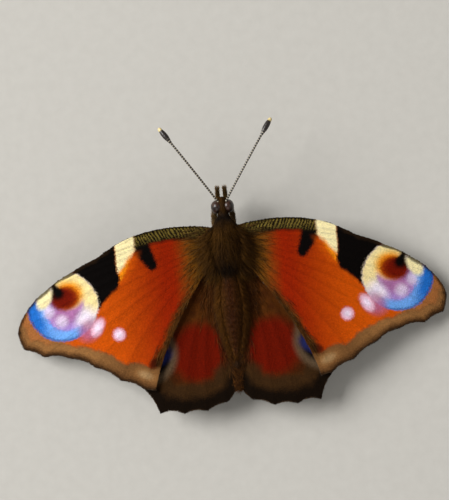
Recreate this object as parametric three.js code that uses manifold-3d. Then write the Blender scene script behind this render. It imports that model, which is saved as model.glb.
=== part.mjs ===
// A peacock butterfly at rest with its wings spread, life size.
// Millimetres. +X is the animal's left, -Y is forward, +Z is up, and the feet stand on Z = 0.
// The plan of each wing is laid out from the middle of the thorax, and the right side mirrors the left.

import * as THREE from "three";
import { mergeVertices } from "three/addons/utils/BufferGeometryUtils.js";
import Module from "manifold-3d";

const wasm = await Module();
wasm.setup();

// Driving dimensions

const GAP = 0.3; // clear space between pieces that touch
const MEMBRANE = 0.5; // thickness of a wing
const MARGIN_EDGE = 0.36; // thickness of a wing at its very margin
const VEIN_RISE = 0.16; // how far a vein stands above the upper face
const VEIN_DROP = 0.1; // how far it stands below the lower face
const VEIN_HALF_WIDTH = 0.26;
const VEIN_ROOM = 0.9; // veins closer together than this are lower too

// The sheet that the spread wings lie in: level at the root, drooping outwards and to the rear.
const SHEET = { root: 2, height: 6.5, rise: 0.03, droop: 0.0058, rearFall: 0.06 };
const HINDWING_DROP = 1.12; // how far the hindwing lies under the forewing's sheet

const THORAX = { from: -3.7, to: 5.4, halfWidth: 2.4, rise: 2.45, drop: 2.55, height: 6.15 };
const ABDOMEN = { from: 3.9, to: 15.9, radius: 1.78, height: 5.95, fall: 1.35, segments: 8 };
const HEAD = { from: -6.75, to: -2.6, halfWidth: 0.8, rise: 1.22, drop: 1.25, height: 6.3 };
const EYE = { x: 0.78, y: -5.3, z: 6.35, radii: [0.86, 0.98, 1.14] };
const ANTENNA = { length: 13.5, radius: 0.25, club: 0.46, clubLength: 2.0, spread: 34, rise: 26, droop: 34 };
const PALP = { x: 0.52, radius: 0.31, tip: 0.17 };
const PROBOSCIS = { radius: 0.25, coil: 0.78, turns: 1.15 };

// A leg is a chain of rounded pieces. Each point is a joint: out, back, up, and the radius there.
const LEGS = {
  midleg: [
    [0.9, 0.2, 4.3, 0.6],
    [1.5, 0.1, 2.95, 0.46],
    [5.7, -0.6, 4.1, 0.36],
    [9.0, -0.9, 0.34, 0.28],
    [12.3, -0.7, 0.17, 0.26],
  ],
  hindleg: [
    [0.9, 2.5, 4.3, 0.6],
    [1.4, 2.8, 2.95, 0.46],
    [4.7, 6.2, 3.85, 0.36],
    [7.2, 10.1, 0.34, 0.28],
    [8.6, 13.4, 0.17, 0.26],
  ],
};
// The foreleg is a short brush folded against the chest, clear of the ground.
const FORELEG = [
  [0.85, -1.9, 4.6, 0.5],
  [1.35, -3.6, 3.5, 0.38],
  [1.15, -5.3, 3.95, 0.26],
];

// Wings in plan: [out, back] from the middle of the thorax. A column is a vein or an edge. It leaves
// the root at a share of the root's chord, heads for the point "via" and ends at its tip on the margin.
// After each column, "bow" says how far the margin bulges out (or is scalloped in) before the next.
const FOREWING = {
  root: [[1.6, -2.4], [1.6, 1.4]],
  columns: [
    { at: 0.0, via: [8.6, -3.7], tip: [14.0, -1.8], bow: 0.12 },
    { at: 0.12, via: [12.4, -2.1], tip: [18.4, 0.5], bow: 0.14 },
    { at: 0.2, via: [14.0, -1.2], tip: [22.2, 2.1], bow: 0.14 },
    { at: 0.28, via: [14.8, -0.2], tip: [25.8, 4.1], bow: 0.2 },
    { at: 0.36, via: [15.4, 0.9], tip: [28.7, 6.6], bow: 0.22 },
    { at: 0.44, via: [15.8, 2.2], tip: [30.2, 9.4], bow: 0.12 },
    { at: 0.52, via: [15.8, 3.8], tip: [29.5, 11.8], bow: -0.2 },
    { at: 0.6, via: [15.0, 5.4], tip: [26.7, 13.1], bow: -0.32 },
    { at: 0.68, via: [13.8, 6.6], tip: [23.1, 13.6], bow: -0.34 },
    { at: 0.76, via: [12.6, 7.3], tip: [19.6, 15.2], bow: -0.3 },
    { at: 0.84, via: [11.4, 8.1], tip: [16.2, 17.3], bow: -0.26 },
    { at: 0.92, via: [10.6, 10.2], tip: [13.0, 18.8], bow: -0.05 },
    { at: 1.0, via: [10.0, 12.7], tip: [11.5, 19.1] },
  ],
  rows: 12,
};
const HINDWING = {
  root: [[1.6, -0.2], [1.5, 3.8]],
  columns: [
    { at: 0.0, via: [8.4, 0.8], tip: [14.6, 8.4], bow: 0.2 },
    { at: 0.2, via: [10.2, 5.0], tip: [16.3, 12.2], bow: -0.1 },
    { at: 0.32, via: [9.6, 7.2], tip: [15.4, 15.6], bow: -0.24 },
    { at: 0.43, via: [8.6, 8.7], tip: [13.3, 18.6], bow: -0.3 },
    { at: 0.54, via: [7.4, 9.8], tip: [11.2, 22.4], bow: -0.42 },
    { at: 0.65, via: [5.9, 9.8], tip: [7.9, 22.7], bow: -0.3 },
    { at: 0.76, via: [4.4, 9.2], tip: [4.7, 22.6], bow: -0.2 },
    { at: 0.88, via: [3.2, 9.8], tip: [1.8, 21.6], bow: 0.15 },
    { at: 1.0, via: [3.8, 12.0], tip: [0.36, 19.3] },
  ],
  rows: 11,
};

const COLOURS = {
  forewing: "#a5300f",
  hindwing: "#5a2413",
  fur: "#4a2f18",
  chitin: "#2a1a12",
  eye: "#1c120e",
  horn: "#33241a",
};

// Closed surfaces

const degrees = THREE.MathUtils.degToRad;
const { lerp, smoothstep } = THREE.MathUtils;

/** A geometry from points and triangles, turned so that its faces point out. */
function surface(points, triangles) {
  const signedVolume = triangles.reduce(
    (sum, [a, b, c]) => sum + points[a].dot(points[b].clone().cross(points[c])),
    0,
  );
  const facing = signedVolume < 0 ? triangles.map(([a, b, c]) => [a, c, b]) : triangles;
  return new THREE.BufferGeometry().setFromPoints(points).setIndex(facing.flat());
}

/** A skin over rings of points, closed by a point at each end. */
function skin(rings, start, end) {
  const sides = rings[0].length;
  const points = [...rings.flat(), start, end];
  const [first, last] = [points.length - 2, points.length - 1];
  const triangles = [];
  for (let k = 0; k < sides; k++) {
    const next = (k + 1) % sides;
    triangles.push([first, next, k]);
    for (let i = 0; i + 1 < rings.length; i++) {
      const [a, b] = [i * sides + k, i * sides + next];
      triangles.push([a, b, b + sides], [a, b + sides, a + sides]);
    }
    const rim = (rings.length - 1) * sides;
    triangles.push([last, rim + k, rim + next]);
  }
  return surface(points, triangles);
}

/** A tapered tube along points, with a radius at each and domed ends. */
function tube(centres, radii, sides) {
  const along = centres.map((_, i) =>
    centres[Math.min(i + 1, centres.length - 1)].clone().sub(centres[Math.max(i - 1, 0)]).normalize(),
  );
  let across = new THREE.Vector3(0, 0, 1).cross(along[0]).normalize();
  const rings = centres.map((centre, i) => {
    across = across.clone().addScaledVector(along[i], -across.dot(along[i])).normalize();
    const other = along[i].clone().cross(across);
    return Array.from({ length: sides }, (_, k) => {
      const turn = (2 * Math.PI * (k + 0.5)) / sides;
      return centre
        .clone()
        .addScaledVector(across, radii[i] * Math.cos(turn))
        .addScaledVector(other, radii[i] * Math.sin(turn));
    });
  });
  const dome = 0.6;
  const end = centres.length - 1;
  return skin(
    rings,
    centres[0].clone().addScaledVector(along[0], -dome * radii[0]),
    centres[end].clone().addScaledVector(along[end], dome * radii[end]),
  );
}

/** A body form along Y: section(t) gives its middle's height, its half width, its rise and its drop. */
function bodyForm({ from, to, rings, sides, section }, grow = 0) {
  const length = to - from;
  const made = Array.from({ length: rings }, (_, i) => {
    const t = (1 - Math.cos((Math.PI * (i + 1)) / (rings + 1))) / 2;
    const { z, halfWidth, rise, drop } = section(t);
    const y = from - grow + t * (length + 2 * grow);
    return Array.from({ length: sides }, (_, k) => {
      const turn = (2 * Math.PI * k) / sides;
      const up = Math.sin(turn);
      return new THREE.Vector3(
        (halfWidth + grow) * Math.cos(turn),
        y,
        z + ((up > 0 ? rise : drop) + grow) * up,
      );
    });
  });
  return skin(
    made,
    new THREE.Vector3(0, from - grow, section(0).z),
    new THREE.Vector3(0, to + grow, section(1).z),
  );
}

function ellipsoid({ x, y, z, radii }, grow = 0) {
  const [rx, ry, rz] = radii.map((r) => r + grow);
  return new THREE.SphereGeometry(1, 14, 9).scale(rx, ry, rz).translate(x, y, z);
}

// Joining and cutting

function solidOf(geometry) {
  const bare = new THREE.BufferGeometry().setAttribute("position", geometry.getAttribute("position"));
  bare.setIndex(geometry.index);
  const merged = mergeVertices(bare, 1e-4);
  return new wasm.Manifold(
    new wasm.Mesh({
      numProp: 3,
      vertProperties: merged.attributes.position.array,
      triVerts: new Uint32Array(merged.index.array),
    }),
  );
}

/** The largest closed surface of a solid, as a geometry. */
function geometryOf(solid) {
  const [body] = solid.decompose().sort((a, b) => b.volume() - a.volume());
  const { numProp, numVert, vertProperties, triVerts } = body.getMesh();
  const points = new Float32Array(numVert * 3);
  for (let i = 0; i < numVert; i++) {
    points.set(vertProperties.subarray(i * numProp, i * numProp + 3), i * 3);
  }
  const geometry = new THREE.BufferGeometry();
  geometry.setAttribute("position", new THREE.BufferAttribute(points, 3));
  geometry.setIndex(new THREE.BufferAttribute(new Uint32Array(triVerts), 1));
  geometry.computeVertexNormals();
  return geometry;
}

const cut = (solid, ...tools) => tools.reduce((left, tool) => left.subtract(tool), solid);

// Body

const dome = (t, power) => Math.sin(Math.PI * Math.min(Math.max(t, 0), 1)) ** power;

/** Widest at the wing roots, with the hump of the back falling to the waist. */
function thoraxSection(t) {
  const full = dome(t, 0.62);
  return {
    z: THORAX.height + 0.15 * (0.5 - t),
    halfWidth: THORAX.halfWidth * full,
    rise: THORAX.rise * dome(t ** 0.85, 0.58),
    drop: THORAX.drop * dome(t ** 0.9, 0.62),
  };
}

/** A waist, a full middle and a taper to the tip, in rings that overlap like a telescope. */
function abdomenSection(t) {
  const waist = lerp(0.74, 1, smoothstep(t, 0.02, 0.34));
  const taper = Math.sqrt(Math.max(0, 1 - smoothstep(t, 0.36, 1.0) ** 1.25));
  const within = (t * ABDOMEN.segments) % 1;
  const radius = ABDOMEN.radius * waist * taper * (1 + 0.055 * (within - 0.5));
  return {
    z: ABDOMEN.height - ABDOMEN.fall * t ** 1.3,
    halfWidth: radius,
    rise: radius * 0.98,
    drop: radius * 1.04,
  };
}

/** A domed face that narrows to the neck. */
function headSection(t) {
  const face = Math.sqrt(Math.max(0, 1 - (1 - Math.min(t / 0.34, 1)) ** 2.4));
  const neck = lerp(1, 0.62, smoothstep(t, 0.42, 0.72));
  return {
    z: HEAD.height - 0.1 * t,
    halfWidth: HEAD.halfWidth * face * (t > 0.98 ? 0.6 : 1) * lerp(1, 0.95, t),
    rise: HEAD.rise * face * neck * (t > 0.98 ? 0.6 : 1),
    drop: HEAD.drop * face * neck * (t > 0.98 ? 0.6 : 1),
  };
}

const thorax = (grow) =>
  solidOf(bodyForm({ ...THORAX, rings: 15, sides: 20, section: thoraxSection }, grow));
const abdomen = (grow) =>
  solidOf(bodyForm({ ...ABDOMEN, rings: 25, sides: 14, section: abdomenSection }, grow));
const head = (grow) =>
  solidOf(bodyForm({ ...HEAD, rings: 11, sides: 16, section: headSection }, grow));
const eye = (grow) => solidOf(ellipsoid(EYE, grow));

const aroundThorax = thorax(GAP);
const aroundHead = head(GAP);
const aroundEye = eye(GAP);
const aroundAbdomen = abdomen(GAP);

/** The antenna leaves the crown upwards and outwards, levels off, and ends in a club. */
function antenna() {
  const steps = 22;
  const at = new THREE.Vector3(0.42, HEAD.from + 1.05, HEAD.height + HEAD.rise * 0.6);
  const spread = degrees(ANTENNA.spread);
  const centres = [];
  const radii = [];
  for (let i = 0; i <= steps; i++) {
    const t = i / steps;
    const climb = degrees(ANTENNA.rise - ANTENNA.droop * t);
    centres.push(at.clone());
    const intoClub = 1 - (1 - t) * (ANTENNA.length / ANTENNA.clubLength);
    const swell = intoClub > 0 ? Math.sin(Math.PI * Math.min(0.5 + 0.36 * intoClub, 1)) : 0;
    const rise = smoothstep(intoClub, -0.35, 0.25);
    radii.push(lerp(ANTENNA.radius, ANTENNA.club * Math.max(swell, 0.55), rise));
    const stride = ANTENNA.length / steps;
    at.add(
      new THREE.Vector3(
        stride * Math.cos(climb) * Math.sin(spread),
        -stride * Math.cos(climb) * Math.cos(spread),
        stride * Math.sin(climb),
      ),
    );
  }
  return cut(solidOf(tube(centres, radii, 7)), aroundHead, aroundEye);
}

/** A palp curves from under the face forwards and up to a blunt point. */
function palp() {
  const path = new THREE.QuadraticBezierCurve3(
    new THREE.Vector3(PALP.x * 0.9, HEAD.from + 1.3, HEAD.height - 1.1),
    new THREE.Vector3(PALP.x * 1.1, HEAD.from - 0.35, HEAD.height - 1.0),
    new THREE.Vector3(PALP.x * 0.9, HEAD.from - 1.35, HEAD.height + 0.15),
  );
  const steps = 8;
  const centres = path.getSpacedPoints(steps);
  const radii = centres.map((_, i) => lerp(PALP.radius, PALP.tip, (i / steps) ** 2));
  return cut(solidOf(tube(centres, radii, 8)), aroundHead, aroundEye);
}

/** The tongue hangs from the mouth and lies coiled like a watch spring in the middle plane. */
function proboscis() {
  const steps = 20;
  const mouth = new THREE.Vector3(0, HEAD.from + 1.75, HEAD.height - HEAD.drop + 0.2);
  const middle = new THREE.Vector3(0, HEAD.from + 0.95, HEAD.height - HEAD.drop - 1.42);
  const centres = [mouth];
  for (let i = 0; i <= steps; i++) {
    const t = i / steps;
    const turn = Math.PI * 0.05 - 2 * Math.PI * PROBOSCIS.turns * t;
    const reach = lerp(PROBOSCIS.coil, PROBOSCIS.coil * 0.12, t);
    centres.push(
      middle.clone().add(new THREE.Vector3(0, reach * Math.cos(turn), reach * Math.sin(turn))),
    );
  }
  const radii = centres.map(() => PROBOSCIS.radius);
  return cut(solidOf(tube(centres, radii, 6)), aroundHead);
}

/** A leg of rounded pieces that swell a little in the middle, flat where it rests on the ground. */
function leg(joints) {
  const places = joints.map(([x, y, z]) => new THREE.Vector3(x, y, z));
  const pieces = places.slice(1).map((place, i) => {
    const [thick, thin] = [joints[i][3], joints[i + 1][3]];
    const shares = [0, 0.25, 0.65, 1];
    const swell = [0.92, 1.06, 1.0, 0.92];
    const centres = shares.map((share) => places[i].clone().lerp(place, share));
    const radii = shares.map((share, k) => lerp(thick, thin, share) * swell[k]);
    return solidOf(tube(centres, radii, 8));
  });
  const ground = solidOf(new THREE.BoxGeometry(80, 80, 10).translate(0, 0, -5));
  return cut(pieces.reduce((all, piece) => all.add(piece)), aroundThorax, ground);
}

// Wings

/** The height of the wings' common sheet over a place in plan. */
function sheetHeight(x, y) {
  const out = x - SHEET.root;
  return SHEET.height + SHEET.rise * out - SHEET.droop * out * out - SHEET.rearFall * y;
}

/** The curve of one column in plan, from the root's chord through "via" to the margin. */
function columnCurve({ at, via, tip }, [front, rear]) {
  return new THREE.QuadraticBezierCurve(
    new THREE.Vector2(...front).lerp(new THREE.Vector2(...rear), at),
    new THREE.Vector2(...via),
    new THREE.Vector2(...tip),
  );
}

/** The columns of a wing's mesh in plan: each vein's crest, its two flanks and the membrane between. */
function meshColumns({ root, columns, rows }) {
  const plan = columns.map((column) => {
    const curve = columnCurve(column, root);
    return Array.from({ length: rows + 1 }, (_, i) => curve.getPoint(i / rows));
  });
  const flank = (line, other) =>
    line.map((point, i) => {
      const share = Math.min(VEIN_HALF_WIDTH / point.distanceTo(other[i]), 0.3);
      return { place: point.clone().lerp(other[i], share), height: 0 };
    });
  const crest = (line, others) =>
    line.map((place, i) => {
      const room = Math.min(...others.map((other) => place.distanceTo(other[i])));
      return { place, height: Math.min(1, room / VEIN_ROOM) };
    });
  const between = (line, other, bow) => {
    const chord = other[rows].clone().sub(line[rows]).normalize();
    const outwards = new THREE.Vector2(-chord.y, chord.x);
    if (outwards.dot(line[rows].clone().sub(line[0])) < 0) outwards.negate();
    return line.map((point, i) => {
      const place = point.clone().lerp(other[i], 0.5);
      return { place: place.addScaledVector(outwards, bow * (i / rows) ** 3), height: 0 };
    });
  };
  return plan.flatMap((line, j) => {
    const [before, after] = [plan[j - 1], plan[j + 1]];
    return [
      ...(before ? [flank(line, before)] : []),
      crest(line, [before, after].filter(Boolean)),
      ...(after ? [flank(line, after), between(line, after, columns[j].bow)] : []),
    ];
  });
}

/** A plate between two like grids of points, split the same way above and below. */
function plate(above, below) {
  const [across, along] = [above.length, above[0].length];
  const points = [...above.flat(), ...below.flat()];
  const under = across * along;
  const index = (j, i) => j * along + i;
  const triangles = [];
  for (let j = 0; j + 1 < across; j++) {
    for (let i = 0; i + 1 < along; i++) {
      const [a, b, c, d] = [index(j, i), index(j + 1, i), index(j + 1, i + 1), index(j, i + 1)];
      triangles.push([a, b, c], [a, c, d]);
      triangles.push([under + a, under + c, under + b], [under + a, under + d, under + c]);
    }
  }
  const rim = [
    ...above.map((_, j) => index(j, 0)),
    ...above[0].slice(1).map((_, i) => index(across - 1, i + 1)),
    ...above.slice(1).map((_, j) => index(across - 2 - j, along - 1)),
    ...above[0].slice(2).map((_, i) => index(0, along - 2 - i)),
  ];
  rim.forEach((a, k) => {
    const b = rim[(k + 1) % rim.length];
    triangles.push([b, a, under + a], [b, under + a, under + b]);
  });
  return surface(points, triangles);
}

/** A wing: a thin plate in the sheet, lowered by "drop", with its veins raised in both of its faces. */
function wing(shape, drop, ...tools) {
  const lines = meshColumns(shape);
  const face = (side, ridge) =>
    lines.map((line, j) =>
      line.map(({ place, height }, i) => {
        const atMargin = i === shape.rows || j === 0 || j + 1 === lines.length;
        const half = (atMargin ? MARGIN_EDGE : MEMBRANE) / 2;
        const z = sheetHeight(place.x, place.y) - drop + side * (half + ridge * height);
        return new THREE.Vector3(place.x, place.y, z);
      }),
    );
  return cut(solidOf(plate(face(1, VEIN_RISE), face(-1, VEIN_DROP))), ...tools);
}

// The model

const finish = (colour, roughness) => new THREE.MeshStandardMaterial({ color: colour, roughness });
const FINISHES = {
  forewing: finish(COLOURS.forewing, 0.8),
  hindwing: finish(COLOURS.hindwing, 0.85),
  fur: finish(COLOURS.fur, 0.95),
  chitin: finish(COLOURS.chitin, 0.6),
  eye: finish(COLOURS.eye, 0.25),
  horn: finish(COLOURS.horn, 0.55),
};

function piece(name, solid, material) {
  const mesh = new THREE.Mesh(geometryOf(solid), material);
  mesh.name = name;
  return mesh;
}

const butterfly = new THREE.Group();
butterfly.add(
  piece("thorax", thorax(0), FINISHES.fur),
  piece("abdomen", cut(abdomen(0), aroundThorax), FINISHES.fur),
  piece("head", cut(head(0), aroundThorax), FINISHES.fur),
  piece("proboscis", proboscis(), FINISHES.horn),
);

const PAIRED = [
  ["eye", () => cut(eye(0), aroundHead, aroundThorax), FINISHES.eye],
  ["antenna", antenna, FINISHES.horn],
  ["palp", palp, FINISHES.fur],
  ["foreleg", () => leg(FORELEG), FINISHES.fur],
  ["midleg", () => leg(LEGS.midleg), FINISHES.chitin],
  ["hindleg", () => leg(LEGS.hindleg), FINISHES.chitin],
  ["forewing", () => wing(FOREWING, 0, aroundThorax, aroundAbdomen), FINISHES.forewing],
  ["hindwing", () => wing(HINDWING, HINDWING_DROP, aroundThorax, aroundAbdomen), FINISHES.hindwing],
];
for (const [side, mirror] of [["left", 1], ["right", -1]]) {
  const half = new THREE.Group();
  half.scale.x = mirror;
  for (const [name, make, material] of PAIRED) {
    half.add(piece(`${name}_${side}`, make(), material));
  }
  butterfly.add(half);
}

// The origin is under the middle of the whole animal, on the ground.
butterfly.updateMatrixWorld(true);
const middle = new THREE.Box3().setFromObject(butterfly).getCenter(new THREE.Vector3());
butterfly.position.set(-middle.x, -middle.y, 0);

export default butterfly;
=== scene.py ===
"""A peacock butterfly standing with its wings spread: skins, scales, hair, legs and light.

Lengths are millimetres, measured from the middle of the thorax at ground level: x to the animal's
left, y to the rear and z up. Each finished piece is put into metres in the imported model's frame.
"""

from __future__ import annotations

import logging
import math
from dataclasses import dataclass, field, replace
from enum import Enum
from typing import Any, Sequence

import bpy
import numpy as np
from mathutils import Matrix, Vector

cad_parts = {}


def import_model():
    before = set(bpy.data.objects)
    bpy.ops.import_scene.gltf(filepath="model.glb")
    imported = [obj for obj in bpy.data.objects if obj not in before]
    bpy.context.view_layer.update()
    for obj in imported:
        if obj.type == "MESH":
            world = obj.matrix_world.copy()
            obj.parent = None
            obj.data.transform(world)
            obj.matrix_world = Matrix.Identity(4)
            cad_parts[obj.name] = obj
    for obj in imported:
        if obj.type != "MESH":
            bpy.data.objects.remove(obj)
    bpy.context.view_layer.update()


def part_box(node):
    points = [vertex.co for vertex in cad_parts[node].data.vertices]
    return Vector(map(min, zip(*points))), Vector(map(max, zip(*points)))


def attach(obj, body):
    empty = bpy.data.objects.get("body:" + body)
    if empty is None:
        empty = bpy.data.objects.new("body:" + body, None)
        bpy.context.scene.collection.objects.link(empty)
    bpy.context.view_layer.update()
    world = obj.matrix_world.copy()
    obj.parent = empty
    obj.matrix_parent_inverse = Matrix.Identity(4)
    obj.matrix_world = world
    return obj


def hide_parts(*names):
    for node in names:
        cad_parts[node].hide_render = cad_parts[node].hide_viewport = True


LOG = logging.getLogger("butterfly")
Array = np.ndarray

MM = 0.001
TINY = 1e-12  # keeps a division from meeting zero
BODY = "root"
TINT = "Tint"
BAKE_MAP = "OFBake"
TUFT_PATCH = 0.003  # side of the patch that one tuft or scale has on the bake map
THORAX_FRONT = -3.7  # the thorax's front end, which ties this plan to the frame


class Side(Enum):
    """The two sides of the body, with the sign of x on each."""

    LEFT = 1
    RIGHT = -1

    @property
    def label(self) -> str:
        """The side's name in the names of pieces and nodes."""
        return self.name.lower()


class Face(Enum):
    """The two faces of a wing, with the sign of z on each."""

    UPPER = 1
    UNDER = -1


def linear(colour: str) -> Array:
    """Turn an sRGB hex value, six digits after a hash mark, into linear red, green and blue."""
    value = np.array([int(colour[i : i + 2], 16) for i in (1, 3, 5)]) / 255
    return np.where(value <= 0.04045, value / 12.92, ((value + 0.055) / 1.055) ** 2.4)


def smooth(low: float, high: float, value: Array) -> Array:
    """A smooth step: 0 below low, 1 above high, and 3t² - 2t³ between."""
    t = np.clip((value - low) / (high - low), 0, 1)
    return t * t * (3 - 2 * t)


def blend(under: Array, over: Array, mask: Array) -> Array:
    """Lay colours over others, or one colour over another, by a mask from 0 to 1 with a number a point."""
    return under * (1 - mask[:, None]) + over * mask[:, None]


def nearest(x: Array, y: Array, start: Sequence[float], end: Sequence[float]) -> tuple[Array, Array]:
    """Find the point of a straight line that is nearest to each place.

    Args:
        x: Places across, in millimetres.
        y: Places back.
        start: One end of the line.
        end: The other end.

    Returns:
        The point's share of the way along the line, and the distance to it.
    """
    way = np.subtract(end, start)
    share = np.clip(((x - start[0]) * way[0] + (y - start[1]) * way[1]) / max(way @ way, TINY), 0, 1)
    return share, np.hypot(x - start[0] - share * way[0], y - start[1] - share * way[1])


def cloud(x: Array, y: Array, cell: float, seed: int) -> Array:
    """Smooth random values on a square lattice, eased between its corners.

    Args:
        x: Places across.
        y: Places back.
        cell: The lattice's pitch in millimetres.
        seed: Picks the random values.

    Returns:
        Values from 0 to 1.
    """
    size, middle = 256, 64
    table = np.random.default_rng(seed).random((size, size))
    gx, gy = x / cell + middle, y / cell + middle
    ix, iy = np.floor(gx).astype(int), np.floor(gy).astype(int)
    fx, fy = smooth(0, 1, gx - ix), smooth(0, 1, gy - iy)
    x0, x1, y0, y1 = ix % size, (ix + 1) % size, iy % size, (iy + 1) % size
    near = table[x0, y0] * (1 - fx) + table[x1, y0] * fx
    far = table[x0, y1] * (1 - fx) + table[x1, y1] * fx
    return near * (1 - fy) + far * fy


def unit(vectors: Array) -> Array:
    """Scale each vector to length 1."""
    return vectors / np.maximum(np.linalg.norm(vectors, axis=-1, keepdims=True), TINY)


def factors(rng: np.random.Generator, spread: float, count: int) -> Array:
    """Random factors about 1, by up to the spread either way."""
    return 1 + spread * rng.uniform(-1, 1, count)


@dataclass
class Shape:
    """Points in millimetres, the faces between them, and a tint and a bake place for each point."""

    points: Array
    quads: Array = field(default_factory=lambda: np.zeros((0, 4), int))
    tris: Array = field(default_factory=lambda: np.zeros((0, 3), int))
    tint: Array | None = None
    bake: Array | None = None
    rounded: bool = True  # whether light runs smoothly over its edges
    bake_quads: Array | None = None  # whose bake places the quads' corners take, if not their own points'

    def mirrored(self, side: Side) -> Shape:
        """The shape on its side: the right one is the left one with x and the faces turned round.

        Args:
            side: Where the shape goes.

        Returns:
            This shape or its mirror image.
        """
        if side is Side.LEFT:
            return self
        return replace(
            self,
            points=self.points * (-1, 1, 1),
            quads=self.quads[:, ::-1],
            tris=self.tris[:, ::-1],
            bake_quads=None if self.bake_quads is None else self.bake_quads[:, ::-1],
        )


def joined(shapes: Sequence[Shape]) -> Shape:
    """Put shapes into one, with their faces renumbered.

    Args:
        shapes: Shapes that all have, or all lack, tints and bake places.

    Returns:
        The joined shape.
    """
    starts = np.cumsum([0] + [len(s.points) for s in shapes[:-1]])
    tint, bake = (
        None if getattr(shapes[0], name) is None else np.concatenate([getattr(s, name) for s in shapes])
        for name in ("tint", "bake")
    )
    return Shape(
        np.concatenate([s.points for s in shapes]),
        np.concatenate([s.quads + n for s, n in zip(shapes, starts)]),
        np.concatenate([s.tris + n for s, n in zip(shapes, starts)]),
        tint,
        bake,
    )


def placed(name: str, data: bpy.types.ID) -> bpy.types.Object:
    """Make an object and link it into the scene.

    Args:
        name: The object's name.
        data: Its mesh, light or camera.

    Returns:
        The object.
    """
    made = bpy.data.objects.new(name, data)
    bpy.context.scene.collection.objects.link(made)
    return made


@dataclass(frozen=True)
class Workshop:
    """Puts shapes into the scene, riding on the body, in the frame's metres."""

    back: float  # how far the plan's y is from the frame's, in millimetres

    @classmethod
    def from_frame(cls) -> Workshop:
        """Find the shift between this plan and the frame from where the thorax starts."""
        low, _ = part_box("thorax")
        return cls(low.y / MM - THORAX_FRONT)

    def metres(self, points: Array) -> Array:
        """Turn points in the plan's millimetres into the frame's metres."""
        return (np.asarray(points, float) + (0, self.back, 0)) * MM

    def piece(
        self, name: str, shape: Shape, finish: bpy.types.Material, nodes: Sequence[str] = ()
    ) -> bpy.types.Object:
        """Make a mesh object of a shape.

        Args:
            name: The piece's name.
            shape: Its points, faces, tints and bake places.
            finish: Its material.
            nodes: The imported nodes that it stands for.

        Returns:
            The new object, which rides on the body.
        """
        mesh = bpy.data.meshes.new(name)
        corners = np.concatenate([shape.quads.ravel(), shape.tris.ravel()])
        sides = np.repeat([4, 3], [len(shape.quads), len(shape.tris)])
        mesh.vertices.add(len(shape.points))
        mesh.vertices.foreach_set("co", self.metres(shape.points).ravel())
        mesh.loops.add(len(corners))
        mesh.loops.foreach_set("vertex_index", corners)
        mesh.polygons.add(len(sides))
        mesh.polygons.foreach_set("loop_start", np.cumsum(sides) - sides)
        mesh.polygons.foreach_set("use_smooth", np.full(len(sides), shape.rounded))
        mesh.update(calc_edges=True)
        if shape.tint is not None:
            rgba = np.hstack([np.clip(shape.tint, 0, 1), np.ones((len(shape.points), 1))])
            layer = mesh.color_attributes.new(name=TINT, type="FLOAT_COLOR", domain="POINT")
            layer.data.foreach_set("color", rgba.ravel())
        if shape.bake is not None:
            quads = shape.quads if shape.bake_quads is None else shape.bake_quads
            places = shape.bake[np.concatenate([quads.ravel(), shape.tris.ravel()])]
            mesh.uv_layers.new(name=BAKE_MAP).data.foreach_set("uv", places.ravel())
        mesh.materials.append(finish)
        made = placed(name, mesh)
        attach(made, BODY)
        if nodes:
            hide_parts(*nodes)
        LOG.info("%s: %d points, %d faces", name, len(shape.points), len(sides))
        return made


def sheet_of(grid: Array) -> Array:
    """Quads between the points of a grid whose numbers are given in two dimensions."""
    return np.stack([grid[:-1, :-1], grid[1:, :-1], grid[1:, 1:], grid[:-1, 1:]], -1).reshape(-1, 4)


def closed_skin(rings: Array, start: Array, end: Array) -> Shape:
    """A skin over rings of points, closed by a pole at each end.

    Args:
        rings: Points by ring and by place round it, turning left about the way from start to end.
        start: The first pole.
        end: The last pole.

    Returns:
        The closed shape, its faces outwards.
    """
    count, sides = rings.shape[:2]
    grid = np.arange(count * sides).reshape(count, sides)
    grid = np.hstack([grid, grid[:, :1]])
    first, last = count * sides, count * sides + 1
    fans = ((first, grid[0, 1:], grid[0, :-1]), (last, grid[-1, :-1], grid[-1, 1:]))
    tris = np.concatenate([np.stack([np.full(sides, pole), a, b], -1) for pole, a, b in fans])
    points = np.concatenate([rings.reshape(-1, 3), [start, end]])
    return Shape(points, sheet_of(grid)[:, ::-1], tris)


def swept(path: Array, radii: Array, sides: int, beside: Sequence[float], cap: int = 3) -> Shape:
    """A round tube along a path: ring point = path + radius (cos a · side + sin a · up), with domed ends.

    Args:
        path: The centre line.
        radii: The radius at each of its points.
        sides: Points round a ring.
        beside: A vector that the path never runs along, from which side and up are worked out.
        cap: Rings in each dome.

    Returns:
        The closed tube.
    """
    tangents = unit(np.gradient(path, axis=0))
    turn = np.radians(90 * (1 - (np.arange(cap) + 0.5) / cap))
    head = path[0] - tangents[0] * radii[0] * np.sin(turn)[:, None]
    tail = path[-1] + tangents[-1] * radii[-1] * np.sin(turn[::-1])[:, None]
    centres = np.concatenate([head, path, tail])
    widths = np.concatenate([radii[0] * np.cos(turn), radii, radii[-1] * np.cos(turn[::-1])])
    along = np.concatenate([np.repeat(tangents[:1], cap, 0), tangents, np.repeat(tangents[-1:], cap, 0)])
    side = unit(np.cross(along, np.asarray(beside, float)))
    up = np.cross(side, along)
    a = np.linspace(0, 2 * np.pi, sides, endpoint=False)[None, :, None]
    rings = centres[:, None] + widths[:, None, None] * (np.cos(a) * side[:, None] + np.sin(a) * up[:, None])
    start = path[0] - tangents[0] * radii[0]
    end = path[-1] + tangents[-1] * radii[-1]
    return closed_skin(rings[:, ::-1], start, end)


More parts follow.
